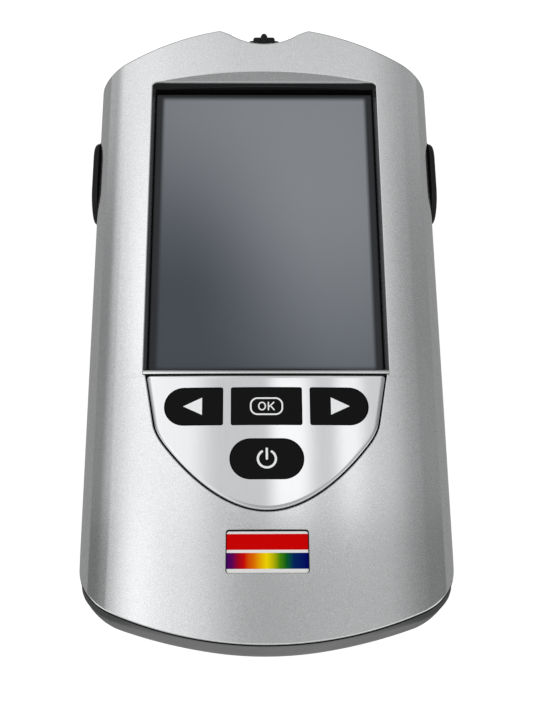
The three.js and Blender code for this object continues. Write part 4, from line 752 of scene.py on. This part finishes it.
key_end, power_end = ((y[1] - y[0]) / 2 - END_TRIM for y in (KEY_ROW, POWER_ROW))
key_rings = {name: bowed(rounded_box(x, y, right, 14, left)) for name, x, y, left, right in (
    ("left", (-KEY_OUT, -KEY_IN), KEY_ROW, key_end, KEY_CORNER),
    ("ok", (-KEY_OK_X, KEY_OK_X), KEY_ROW, KEY_CORNER, KEY_CORNER),
    ("right", (KEY_IN, KEY_OUT), KEY_ROW, KEY_CORNER, key_end),
    ("power", (-POWER_X, POWER_X), POWER_ROW, power_end, power_end))}
cut_out(key_panel, joined(*[prism(ring + outward(ring) * KEY_CLEARANCE, *KEY_HOLE_Z)
                            for ring in key_rings.values()]))
key_black = moulded("key_black", (15, 15, 16), 0.5, 0.5, 0.006, 0.08, specular=0.08)
for name, ring in key_rings.items():
    out = outward(ring)
    middle = (ring.max(0) + ring.min(0)) / 2
    rows = [on_face(drawn_in(ring - out * KEY_ROUND, middle, t), KEY_SUNK)
            for t in np.linspace(0.06, 1, 12)]
    rows += [on_face(ring - out * KEY_ROUND * (1 - np.sin(turn)),
                     KEY_SUNK + KEY_ROUND * (1 - np.cos(turn))) for turn in fillet[1:]]
    rows += [lifted(ring + out * grow, z) for grow, z in (
        (0, FLANGE_Z[1]), (FLANGE, FLANGE_Z[1]), (FLANGE, FLANGE_Z[0]))]
    cap = skinned(f"key_{name}_cap", rows, f"{name}_key", "key_black", key_black)
    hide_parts(f"key_{name}")

# Marks on the keys: silver foil pressed into the black caps and a hair proud of them. Two triangles,
# the letters OK in a ring, and the common sign for power.
FOIL_SUNK, FOIL_DEEP = 0.004, 0.15
foil_silver = moulded("foil_silver", (238, 239, 240), 0.3, 0.4, 0.004, 0.03, 0.2)


def foil(name, outline, body, hole=None):
    """A flat mark on the crown, closed below. With a hole it is a band between two rings of the same
    count."""
    if hole is None:
        middle = outline.mean(0)
        rows = [on_face(drawn_in(outline, middle, t), FOIL_SUNK) for t in (0.05, 0.4, 0.7, 1)]
        rows.append(on_face(outline, FOIL_DEEP))
    else:
        rows = [on_face(hole, FOIL_SUNK), on_face(outline, FOIL_SUNK), on_face(outline, FOIL_DEEP),
                on_face(hole, FOIL_DEEP)]
    skinned(name, rows, body, "gloss_silver", foil_silver, ring=hole is not None)


def stroke(line, width, cap=7):
    """Outline of a pen stroke of that width along a line, with round ends: the line moved to each side
    by its normals, and half circles at the ends."""
    step = np.gradient(line, axis=0)
    step /= np.linalg.norm(step, axis=1, keepdims=True)
    right = np.stack([step[:, 1], -step[:, 0]], 1) * width / 2
    end = np.arctan2(step[-1, 1], step[-1, 0])
    start = np.arctan2(-step[0, 1], -step[0, 0])
    return np.concatenate([
        line + right, arc(*line[-1], width / 2, end - quarter, end + quarter, cap)[1:-1],
        (line - right)[::-1], arc(*line[0], width / 2, start - quarter, start + quarter, cap)[1:-1]])


def band(name, outline, body):
    """A long bent stroke as a solid strip: the two sides of the stroke joined across."""
    count = len(outline) // 2
    one, other = outline[:count], outline[count:][::-1]
    section = np.stack([on_face(one, FOIL_SUNK), on_face(other, FOIL_SUNK), on_face(other, FOIL_DEEP),
                        on_face(one, FOIL_DEEP)]).transpose(1, 0, 2)
    skinned(name, section[::-1], body, "gloss_silver", foil_silver)


ARROW_TIP, ARROW_BASE, ARROW_HALF, ARROW_Y = 18.65, 14.4, 2.03, -24.1
for name, way in (("left", -1), ("right", 1)):
    corners = np.array([(ARROW_TIP, ARROW_Y), (ARROW_BASE, ARROW_Y + ARROW_HALF),
                        (ARROW_BASE, ARROW_Y - ARROW_HALF)])[::way] * [way, 1]
    around = np.concatenate([spaced([corners[i], corners[(i + 1) % 3]], 12)[:-1] for i in range(3)])
    foil(f"mark_{name}", bowed(around), f"{name}_key")
PILL_X, PILL_Y, PILL_ROUND, PILL_LINE = 3.7, (-26.25, -22.1), 1.72, 0.36
pill, pill_hole = (rounded_box((line - PILL_X, PILL_X - line), (PILL_Y[0] + line, PILL_Y[1] - line),
                               PILL_ROUND - line, 12) for line in (0, PILL_LINE))
foil("mark_ok_ring", pill, "ok_key", pill_hole)
LETTER_Y, LETTER_HALF, PEN, PEN_HALF, O_X, O_HALF = -24.15, 1.02, 0.29, 0.145, -1.0, 0.88
letter_o, hole_o = (circle(0, 0, 1) * [O_HALF - pen, LETTER_HALF - pen] + [O_X, LETTER_Y]
                    for pen in (0, PEN))
foil("mark_ok_o", letter_o, "ok_key", hole_o)
K_STEM, K_ARM, k_reach = 0.42, 1.62, LETTER_HALF - PEN_HALF
for part, start, end in (
        ("stem", (K_STEM, LETTER_Y - k_reach), (K_STEM, LETTER_Y + k_reach)),
        ("arm", (K_STEM + 0.1, LETTER_Y - 0.2), (K_ARM, LETTER_Y + k_reach)),
        ("leg", (K_STEM + 0.45, LETTER_Y + 0.1), (K_ARM + 0.06, LETTER_Y - k_reach))):
    foil(f"mark_ok_k_{part}", stroke(spaced([start, end], 6), PEN, 6), "ok_key")
POWER_Y, POWER_R, POWER_PEN, POWER_GAP, POWER_BAR = -36.35, 1.97, 0.5, np.radians(33), 2.3
power_arc = arc(0, POWER_Y, POWER_R, quarter + POWER_GAP, 5 * quarter - POWER_GAP, 60)
band("mark_power_arc", stroke(power_arc, POWER_PEN, 9), "power_key")
foil("mark_power_bar", stroke(upright(0, POWER_Y, POWER_Y + POWER_BAR, 8), POWER_PEN), "power_key")

# Scan buttons: one soft black rubber stadium in each side, domed outside and lying in a hole that the
# cover and the case share. A flange inside keeps it in.
SCAN_Z, SCAN_HALF, SCAN_TIP, SCAN_DOME, SCAN_SKIRT = 32.0, 6.5, 42.7, 1.2, (36.05, 37.05)
SCAN_FLAT, SCAN_HOLLOW, SCAN_FLANGE = 0.8, 0.35, 1.1
rubber = moulded("black_rubber", (24, 24, 25), 0.6, 0.3, 0.02, 0.12, specular=0.25)


def stadium(grow, z):
    """Straight sides joined by half circles, drawn in Y and Z about the button's middle, at a height
    along its way out."""
    return lifted(np.concatenate([
        arc(way * SCAN_STRAIGHT, 0, SCAN_HALF + grow, start, start + 2 * quarter, 28)
        for way, start in ((1, -quarter), (-1, quarter))]), z)


shrink = -SCAN_HALF * 0.9
rows = [stadium(shrink * (1 - t), SCAN_TIP - SCAN_HOLLOW * (1 - (t / SCAN_FLAT) ** 2))
        for t in np.linspace(0.04, SCAN_FLAT, 7)]
rows += [stadium(shrink * (1 - SCAN_FLAT) * (1 - np.sin(turn)),
                 SCAN_TIP - SCAN_DOME * (1 - np.cos(turn)))
         for turn in np.linspace(0, quarter, 12)]
rows += [stadium(0, SCAN_SKIRT[1]), stadium(SCAN_FLANGE, SCAN_SKIRT[1]),
         stadium(SCAN_FLANGE, SCAN_SKIRT[0])]
for name, way in (("left", "-x"), ("right", "+x")):
    points, faces = turned(solid_of(rows), way)
    button = new_piece(f"scan_rubber_{name}", points + [0, SCAN_Y, SCAN_Z], faces,
                       f"{name}_scan_button", "black_rubber", rubber)
    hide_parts(f"scan_button_{name}")

# Strip port: a black nose in the notch with an upper jaw, a lower lip that is a little wider, the slit
# for the test strip between them, and a rib on top that guides the finger.
JAW_Z, SLIT_Z, LIP_LOW = 44.2, (42.4, 43.1), 41.0
JAW_X, LIP_X, RIB_X, SLIT_X = 3.1, 4.45, 1.05, 2.8
JAW_Y, LIP_Y, RIB_Y, PORT_BACK, NOSE_BACK, SLIT_END = 75.65, 75.9, 76.5, 69.6, 71.5, 74.6
RIB_START, RIB_HIGH, RIB_SUNK, RIB_NOSE = 73.0, 1.25, 0.4, 0.9
JAW_BACK, JAW_TAPER, JAW_ROUND, LIP_TAPER, LIP_ROUND, CHEEK_X = 71.0, 0.35, 0.7, 0.5, 0.9, 7
port_black = moulded("port_black", (22, 22, 23), 0.5, 0.3, 0.01, 0.1, specular=0.25)


def nose_plan(half, front, back, taper, round_by):
    """Plan of a nose: straight back, sides that draw in by a taper, and rounded front corners."""
    side, tip = half - taper, half - taper - round_by
    right = chained([
        np.array([(half, back), (half, NOSE_BACK), (side, front - round_by)]),
        curve([(side, front - round_by), (side, front), (tip, front)], 8),
        np.array([(tip, front), (0, front)])])
    return np.concatenate([right, right[-2::-1] * [-1, 1]])


def pillow(plan, low, high, radius=0.22):
    """Solid over a plan with rounded upper and lower edges: rows of a quarter circle at each."""
    out = outward(plan)
    core, middle = plan - out * radius, (plan.max(0) + plan.min(0)) / 2
    rows = [lifted(drawn_in(core, middle, t), high) for t in (0.05, 0.5)]
    for z, way, turns in ((high, -radius, fillet), (low, radius, fillet[::-1])):
        rows += [lifted(plan - out * radius * (1 - np.sin(turn)), z + way * (1 - np.cos(turn)))
                 for turn in turns]
    return solid_of(rows + [lifted(drawn_in(core, middle, 0.05), low)])


def rib_section(y):
    """Bullet outline of the rib in X and Z at one place along it: a half ellipse on straight sides,
    that falls to the jaw at the front as sqrt(1 - s^4)."""
    share = np.clip((y - RIB_START) / (RIB_Y - RIB_START), 0, 1)
    fall = np.sqrt(max(1e-4, 1 - share**4))
    turn = np.linspace(0, 2 * quarter, 17)
    x = RIB_X * np.cos(turn) * (0.35 + 0.65 * fall)
    z = JAW_Z - RIB_SUNK + (RIB_SUNK + RIB_HIGH * fall) * np.sin(turn)
    x, z = np.append(x, x[-2:0:-1]), np.append(z, np.full(15, JAW_Z - 0.5))
    return np.stack([x, np.full(len(x), y), z], 1)


rib_ys = [*(RIB_START + np.array([-0.4, 0, 1, 2])),
          *(RIB_Y - RIB_NOSE * (1 - np.linspace(0, 1, 9)[1:]) ** 2)]
port = new_piece("strip_nose", *joined(
    pillow(nose_plan(JAW_X, JAW_Y, JAW_BACK, JAW_TAPER, JAW_ROUND), SLIT_Z[1], JAW_Z),
    pillow(nose_plan(LIP_X, LIP_Y, PORT_BACK, LIP_TAPER, LIP_ROUND), LIP_LOW, SLIT_Z[0]),
    *[box(x, (JAW_BACK, SLIT_END), (SLIT_Z[0] - 0.1, SLIT_Z[1] + 0.1))
      for x in ((-JAW_X, -SLIT_X), (SLIT_X, JAW_X))],
    *[box(x, (PORT_BACK, NOSE_BACK), (LIP_LOW, SLIT_Z[1]))
      for x in ((-CHEEK_X, -SLIT_X), (SLIT_X, CHEEK_X))],
    solid_of([rib_section(y) for y in rib_ys[::-1]]),
), "housing", "black_plastic", port_black)
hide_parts("strip_port")

# Battery cover: a flat lid in the back, of the case's plastic, with finger grooves next to its latch.
# Two tongues at its tail end turn in the case and the latch's nose holds its head end.
LID_X, LID_Y, LID_Z, LID_ROUND, LID_CORNER = 21.2, (-40.7, 16.6), (0.8, 2.6), 0.3, 2.7
LATCH_SLOT_X, LATCH_SLOT_Y, THROUGH = 6.3, (4.8, 13.4), (-1, 4)
LID_GROOVE, LID_GROOVE_YS = (9, 0.35, 0.34, (-1, 1.25)), np.arange(-3.5, 4.0, 1.4)
TONGUE_END_Y, TONGUE_TOP, TONGUE_STEPS = -39.6, 4.2, ((-40.7, 2.4), (-43.2, 3.1))
lid_plan = rounded_box((-LID_X, LID_X), LID_Y, LID_CORNER, 10)
lid_out, lid_middle = outward(lid_plan), np.array([0.0, -12.0])
rows = [lifted(drawn_in(lid_plan, lid_middle, t), LID_Z[1]) for t in (0.05, 1)]
rows += [lifted(lid_plan - lid_out * LID_ROUND * (1 - np.sin(turn)),
                LID_Z[0] + LID_ROUND * (1 - np.cos(turn))) for turn in fillet[::-1]]
rows.append(lifted(drawn_in(lid_plan - lid_out * LID_ROUND, lid_middle, 0.05), LID_Z[0]))
lid = skinned("battery_lid", rows, "battery_door", "grey_plastic", case_paint)
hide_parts("battery_cover")


def grooves(half_x, half_y, corner, top, ys):
    """Round-ended slots across the back, one at each y, to cut with."""
    return [prism(rounded_box((-half_x, half_x), (y - half_y, y + half_y), corner, 4), *top) for y in ys]


cut_out(lid, joined(box((-LATCH_SLOT_X, LATCH_SLOT_X), LATCH_SLOT_Y, THROUGH),
                    *grooves(*LID_GROOVE, LID_GROOVE_YS)))
tongues = [box((x - TONGUE_HALF, x + TONGUE_HALF), (y, TONGUE_END_Y), (z, TONGUE_TOP))
           for x in TONGUE_X for y, z in TONGUE_STEPS]
new_piece("battery_lid_tongues", *joined(*tongues), "battery_door", "grey_plastic", case_paint)

# Latch: a black slide in the lid with a ribbed thumb patch. It slides 2 mm towards the tail and its
# nose leaves the case.
LATCH_X, LATCH_Y, LATCH_Z, LATCH_CORNER, LATCH_ROUND = 6.0, (7.1, 13.1), (0.9, 3.79), 0.6, 0.18
GRIP, GRIP_YS, FLANGE_TAIL = (4.6, 0.28, 0.27, (0, 1.3)), np.arange(8.2, 12.3, 0.95), 5.9
FLANGE_X, NOSE_X, NOSE_Y, LATCH_BACK_Z = 7.2, 4, (12.9, 16.6), (2.9, 3.8)
latch_plan = rounded_box((-LATCH_X, LATCH_X), LATCH_Y, LATCH_CORNER)
latch = new_piece("latch_slide", *pillow(latch_plan, *LATCH_Z, LATCH_ROUND), "door_latch",
                  "black_plastic", port_black)
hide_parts("battery_latch")
cut_out(latch, joined(*grooves(*GRIP, GRIP_YS)))
new_piece("latch_flange", *joined(
    box((-FLANGE_X, FLANGE_X), (FLANGE_TAIL, LATCH_Y[1]), LATCH_BACK_Z),
    box((-NOSE_X, NOSE_X), NOSE_Y, LATCH_BACK_Z),
), "door_latch", "black_plastic", port_black)

# Feet: four soft rubber discs pressed into round seats in the back. The meter stands on them, and
# its back stays clear of the table.
FOOT_R, FOOT_HIGH, FOOT_ROUND = 4.0, 1.5, 0.35
for number, (x, y) in enumerate(FEET, 1):
    foot = new_piece(f"foot_pad_{number}", *pillow(circle(x, y, FOOT_R), 0.0, FOOT_HIGH, FOOT_ROUND),
                     "housing", "black_rubber", rubber)
    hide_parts(f"foot_{number}")

# Case screws: four of steel, deep in their wells in the back, that go up into the front cover and
# hold the two halves together. Their heads have a cross recess.
steel = moulded("steel", (186, 188, 190), 0.3, 0.4, 0.004, 0.06, 0.95)
HEAD_R, HEAD_Z, SHANK_R, SCREW_TIP = 2.1, (14.3, 15.9), 1.1, 37.0
CROSS_LONG, CROSS_HALF, CROSS_Z = 1.2, 0.22, (13, 15.1)
LEVELS = [(0.05, SCREW_TIP), (SHANK_R * 0.5, SCREW_TIP - 0.2), (SHANK_R, SCREW_TIP - 1.2),
          (SHANK_R, HEAD_Z[1]), (HEAD_R - 0.1, HEAD_Z[1]), (HEAD_R, HEAD_Z[1] - 0.1),
          (HEAD_R, HEAD_Z[0] + 0.5), (HEAD_R * 0.9, HEAD_Z[0] + 0.15), (HEAD_R * 0.6, HEAD_Z[0]),
          (0.1, HEAD_Z[0])]
for number, (x, y) in enumerate(SCREWS, 1):
    screw = skinned(f"case_screw_head_{number}",
                    [lifted(circle(x, y, radius), z) for radius, z in LEVELS], "housing", "steel", steel)
    for wide, high in ((CROSS_LONG, CROSS_HALF), (CROSS_HALF, CROSS_LONG)):
        cut_out(screw, box((x - wide, x + wide), (y - high, y + high), CROSS_Z))
    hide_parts(f"case_screw_{number}")


# Display: the glass over the window, with a black printed border and the unlit display seen in it as a
# grey field. The field's shading, darker at its tail end and on the left, is painted light and
# reflection, and its soft edges are a painted shadow of the frame. It is a flat pane, so it keeps its
# solid, as the display and its parts do.
def eased(tree, value, low, high):
    """0 below low and 1 above high, with the smooth step t^2 (3 - 2 t) between them."""
    return new_node(tree, "MapRange", {"From Min": low, "From Max": high, "Value": value},
                    interpolation_type="SMOOTHSTEP").outputs[0]


def between(tree, value, low, high, soft=0.02):
    """1 where value lies between low and high (millimetres), with an edge as wide as soft."""
    return math_node(tree, "MULTIPLY", *[
        new_node(tree, "MapRange", {"From Min": (at - soft) * MM, "From Max": (at + soft) * MM,
                                    "To Min": start, "To Max": 1 - start, "Value": value}).outputs[0]
        for at, start in ((low, 0), (high, 1))])


# Greys of the display's field and how they are mixed: painted light and reflection across the display
LCD_LEFT = (4, 62), (72, 77, 85), (126, 130, 135)
LCD_RIGHT = (-26, 34), (100, 105, 111), (133, 137, 142)
LCD_Y, LCD_X, FRAME_X, FRAME_Y = (-13.4, 59.2), 25.2, 27.0, (-14.6, 60.4)
LCD_TURN, LCD_SHADE = 0.19, (-18.0, 17.0)


def display_glass():
    """Black border, dark grey frame line, and a grey field that is darkest at its tail end on the left:
    at the left and at the right a dark grey turns to a lighter one by the smooth step of y, and the two
    are mixed by that of x + 0.19 y. This shading of the field is painted light and reflection, and the
    field's soft edges are painted shadow."""
    material, tree, principled = shader("display_glass")
    place, (x, y, z) = object_place(tree)
    # The field's greys, darker at the tail and on the left, are painted light and reflection
    left, right = (mixed(tree, eased(tree, y, low * MM, high * MM), dark, light)
                   for (low, high), dark, light in (LCD_LEFT, LCD_RIGHT))
    slant = math_node(tree, "MULTIPLY_ADD", y, LCD_TURN, x)
    shade = eased(tree, slant, LCD_SHADE[0] * MM, LCD_SHADE[1] * MM)
    dust = spread(tree, grain_noise(tree, place, 0.4), 0.985, 1.015)
    # The field's soft edges, 0.45 and 0.6 mm wide, are a painted shadow of the frame
    inside = math_node(tree, "MULTIPLY", between(tree, x, -LCD_X, LCD_X, 0.45),
                       between(tree, y, *LCD_Y, 0.6))
    frame_line = math_node(tree, "MULTIPLY", between(tree, x, -FRAME_X, FRAME_X, 0.1),
                           between(tree, y, *FRAME_Y, 0.1))
    feed(tree, principled, {
        "Base Color": mixed(tree, inside, mixed(tree, frame_line, (5, 5, 6), (50, 51, 54)),
                            tinted(tree, mixed(tree, shade, left, right), dust)),
        "Roughness": spread(tree, grain_noise(tree, place, 6.0), 0.22, 0.28),
        "Specular IOR Level": 0.1})
    return material


def repaint(finish, *names):
    """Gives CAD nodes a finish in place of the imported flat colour."""
    for name in names:
        mesh = nodes[name].data
        mesh.materials.clear()
        mesh.materials.append(finish)


repaint(display_glass(), "touch_screen")
repaint(moulded("display_grey", (112, 117, 124), 0.3, 0.8, 0.002, 0.03), "lcd_panel")
repaint(moulded("bezel_black", (12, 12, 13), 0.5, 0.3, 0.01, 0.1), "display_bezel")
repaint(steel, "lcd_frame", "keypad_domes", "processor_shield", "keypad_screw_1", "keypad_screw_2",
        *[f"board_screw_{number}" for number in (1, 2, 3, 4)])
repaint(moulded("flex_amber", (168, 112, 42), 0.35, 1.5, 0.002, 0.08), "display_flex")

# Label: a thin printed film stuck in its recess, white with a red band above and a run of colours
# below. Its corners are round and its edge is a hair off the recess.
FILM_X, FILM_Y, FILM_Z, FILM_CORNER, FILM_ROUND = 8.75, (-61.4, -52.4), (45.1, 45.4), 0.55, 0.05
RED_BAND, COLOUR_BAND = (-56.4, -52.95), (-60.5, -57.05)
SPECTRUM = [(0, (66, 0, 100)), (0.07, (90, 0, 84)), (0.14, (158, 0, 30)), (0.22, (204, 8, 0)),
            (0.34, (222, 112, 0)), (0.49, (240, 212, 0)), (0.65, (70, 134, 4)), (0.73, (4, 92, 22)),
            (0.82, (0, 36, 92)), (1, (0, 0, 96))]


def printed_label():
    """Bands along Y, of which one runs through the colours along X, by steps of Object
    coordinates."""
    material, tree, principled = shader("printed_label")
    place, (x, y, z) = object_place(tree)
    share = new_node(tree, "MapRange", {"From Min": -FILM_X * MM, "From Max": FILM_X * MM, "Value": x})
    run = new_node(tree, "ValToRGB", {0: share.outputs[0]})
    run.color_ramp.interpolation = "LINEAR"
    while len(run.color_ramp.elements) < len(SPECTRUM):
        run.color_ramp.elements.new(0.5)
    for element, (at, colour) in zip(run.color_ramp.elements, SPECTRUM):
        element.position, element.color = at, linear(colour)
    red, colours = between(tree, y, *RED_BAND, 0.03), between(tree, y, *COLOUR_BAND, 0.03)
    shown = mixed(tree, colours, mixed(tree, red, (226, 226, 225), (200, 0, 0)), run.outputs[0])
    speck = spread(tree, grain_noise(tree, place, 0.3), 0.97, 1.03)
    feed(tree, principled, {
        "Base Color": tinted(tree, shown, speck), "Specular IOR Level": 0.03,
        "Roughness": spread(tree, grain_noise(tree, place, 3.0), 0.36, 0.44)})
    return material


film = new_piece("label_film", *pillow(rounded_box((-FILM_X, FILM_X), FILM_Y, FILM_CORNER), *FILM_Z,
                                       FILM_ROUND), "housing", "label_print", printed_label())
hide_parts("label_plate")

# Inside parts: boards, chips, connectors, the mat under the keys, the battery and the reader, each the
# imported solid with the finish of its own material.
repaint(moulded("board_green", (31, 90, 58), 0.4, 0.6, 0.004, 0.15), "main_board", "keypad_board")
repaint(moulded("chip_black", (30, 31, 33), 0.55, 0.25, 0.006, 0.12), "scan_switch_left",
        "scan_switch_right", "keypad_header", "radio_module", "sounder", "strip_connector",
        "scan_engine", "battery_connector")
repaint(moulded("contact_gold", (212, 168, 80), 0.28, 0.3, 0.003, 0.06, 0.95), "strip_contacts",
        "dock_contacts")
repaint(moulded("mat_grey", (185, 186, 180), 0.7, 0.5, 0.01, 0.06), "keypad_mat")
repaint(moulded("pack_blue", (44, 58, 76), 0.4, 1.2, 0.004, 0.1), "battery_pack")
repaint(port_black, "dock_connector")
repaint(moulded("reader_red", (48, 10, 14), 0.12, 2.0, 0.002, 0.1), "scan_window")

# Photographer's table: a white sheet under the meter that runs on past the picture, plain enough that
# only the soft shadow tells it from the background.
bpy.ops.mesh.primitive_plane_add(size=6, location=(0, 0, 0))
table_top = bpy.context.object
table_top.name = "table_top"
FLOOR_GLOW, FLOOR_SHARE = 1.35, 0.6
paper, tree, principled = shader("white_sheet")
feed(tree, principled, {"Base Color": (244, 244, 244), "Roughness": 0.9, "Specular IOR Level": 0.0})
glow = new_node(tree, "Emission", {"Strength": FLOOR_GLOW})
rays = new_node(tree, "LightPath", {}).outputs
seen_ray = math_node(tree, "MAXIMUM", math_node(
    tree, "MAXIMUM", rays["Is Camera Ray"], rays["Is Glossy Ray"]), rays["Is Transmission Ray"])
blend = new_node(tree, "MixShader", {0: math_node(tree, "MULTIPLY", seen_ray, FLOOR_SHARE),
                                     1: principled.outputs[0], 2: glow.outputs[0]})
feed(tree, tree.nodes["Material Output"], {"Surface": blend.outputs[0]})
table_top.data.materials.append(paper)

# Side cards: two wide grey cards lie on the table at either side of the meter, as a photographer lays
# them to keep the rolled silver edges from fading into the white. Only reflections show them.
CARD_NEAR, CARD_FAR, CARD_Z, CARD_GREY = 45.0, 3000.0, 0.5, 0.32
card_grey, tree, _ = shader("card_grey")
feed(tree, tree.nodes["Material Output"],
     {"Surface": new_node(tree, "Emission", {"Strength": CARD_GREY}).outputs[0]})
for name, low, high in (("left", -CARD_FAR, -CARD_NEAR), ("right", CARD_NEAR, CARD_FAR)):
    points = [(x, y, CARD_Z) for x, y in ((low, -CARD_FAR), (high, -CARD_FAR), (high, CARD_FAR),
                                          (low, CARD_FAR))]
    card = new_piece(f"side_card_{name}", points, [(0, 1, 2, 3)], None, None, card_grey)
    card.visible_camera = card.visible_diffuse = card.visible_transmission = False
    card.visible_shadow = False

# Studio: soft lights overhead, drawn as a sky whose bands run along the meter. A band begins or ends
# at an edge: how far it leans across in degrees, and how much brighter the sky gets past it over the
# meter's tail, its middle and its head. The key panel mirrors narrow strips of its own.
BASE_LEVEL = 0.16, 0.27, 0.5
BAND_EDGES = [((-62, -28), (0.11, 0.39, 0.46)), ((-25, -20.2), (1.08, 0.7, 0.1)),
              ((-20, -14), (-0.36, -0.33, -0.14)), ((-14, -1), (-0.56, -0.33, -0.14)),
              ((0, 14), (0.08, 0.13, -0.04)), ((19.5, 25.5), (-0.32, -0.55, -0.32))]
TO_MIDDLE, TO_HEAD = (0.25, 0.43), (0.43, 0.56)
PANEL_LEVEL, PANEL_FROM, PANEL_TO = 0.26, (0.225, 0.242), (0.345, 0.365)
PANEL_EDGES = [((-62, -28), 0.3), ((-25, -20.2), 0.65), ((-20, -14), -0.07), ((-12.5, -6.5), -0.42),
               ((0, 3.2), 0.55), ((5.8, 9.6), -0.52), ((10.6, 13.6), 0.45), ((14.8, 17.8), -0.43),
               ((19.5, 25.5), -0.48)]
# Towards the tail end and past the head end the level goes by the direction's Y alone
BACK_LEVEL, BACK_UP_TO = 0.5, (0.0, 0.12)
BACK_EDGES = [((-0.85, -0.66), -0.16), ((-0.5, -0.3), 0.66), ((-0.1, 0.05), -0.2)]
HEAD_EDGE, HEAD_DARK = (0.6, 0.66), 0.66
world = bpy.data.worlds.new("studio")
bpy.context.scene.world = world
world.use_nodes = True
sky = world.node_tree
direction = new_node(sky, "TexCoord", {}).outputs["Generated"]
across, along, above = new_node(sky, "SeparateXYZ", {0: direction}).outputs
lean = math_node(sky, "DEGREES", math_node(sky, "ARCTAN2", across, above))


def summed(value, base, edges):
    """The base level plus each edge's change times the smooth step of the value across the edge."""
    total = base
    for edge, change in edges:
        total = math_node(sky, "MULTIPLY_ADD", eased(sky, value, *edge), change, total)
    return total


def blended(amount, first, second):
    """first where amount is 0 and second where it is 1: first + amount (second - first)."""
    return math_node(sky, "MULTIPLY_ADD", math_node(sky, "SUBTRACT", second, first), amount, first)


tail, middle, head = (
    summed(lean, BASE_LEVEL[place], [(edge, change[place]) for edge, change in BAND_EDGES])
    for place in range(3))
bands = blended(eased(sky, along, *TO_MIDDLE), tail, middle)
bands = blended(eased(sky, along, *TO_HEAD), bands, head)
over_panel = math_node(sky, "SUBTRACT", eased(sky, along, *PANEL_FROM), eased(sky, along, *PANEL_TO))
bands = blended(over_panel, bands, summed(lean, PANEL_LEVEL, PANEL_EDGES))
past_head = math_node(sky, "MULTIPLY_ADD", eased(sky, along, *HEAD_EDGE), -HEAD_DARK, 1.0)
bands = math_node(sky, "MULTIPLY", bands, past_head)
bands = blended(eased(sky, along, *BACK_UP_TO), summed(along, BACK_LEVEL, BACK_EDGES), bands)
feed(sky, sky.nodes["Background"], {"Strength": bands, "Color": (255, 255, 255)})

# Lamp: one square soft light over the meter, placed in metres, that faces it. It lights the paper
# and the plastics, and nothing mirrors it: the paint and the panel mirror the sky alone.
LAMP_PLACE, LAMP_AIM = Vector((0, -0.3, 1.0)), Vector((0, 0, 0.03))
lamp = bpy.data.lights.new("overhead_box", "AREA")
lamp.size, lamp.energy = 0.5, 4
holder = bpy.data.objects.new("overhead_box", lamp)
bpy.context.scene.collection.objects.link(holder)
holder.location = LAMP_PLACE
holder.rotation_euler = (LAMP_PLACE - LAMP_AIM).to_track_quat("Z", "Y").to_euler()
holder.visible_glossy = False

# Camera: above the tail end, looking down at 69 degrees, and a little turned, leant and rolled as the
# photograph is. All of it was fitted to the meter's outline in the photograph.
AIM, DISTANCE = np.array([0.000066, -0.012062, 0.046]), 0.272041
TILT, TURN, LEAN, ROLL = np.radians([68.696, -1.079, -0.414, -0.78])
across_y = np.array([[np.cos(LEAN), 0, np.sin(LEAN)], [0, 1, 0], [-np.sin(LEAN), 0, np.cos(LEAN)]])
back = across_y @ [np.sin(TURN) * np.cos(TILT), -np.cos(TURN) * np.cos(TILT), np.sin(TILT)]
right = across_y @ [np.cos(TURN), np.sin(TURN), 0.0]
up = np.cross(back, right)
pose = np.eye(4)
pose[:3] = np.stack([right * np.cos(ROLL) - up * np.sin(ROLL), up * np.cos(ROLL) + right * np.sin(ROLL),
                     back, AIM + back * DISTANCE], 1)
lens = bpy.data.cameras.new("camera")
lens.lens, lens.sensor_width, lens.clip_start = 60.77, 36, 0.01
camera = bpy.data.objects.new("camera", lens)
bpy.context.scene.collection.objects.link(camera)
camera.matrix_world = Matrix(pose.tolist())
bpy.context.scene.camera = camera
bpy.context.scene.view_settings.view_transform = "Standard"
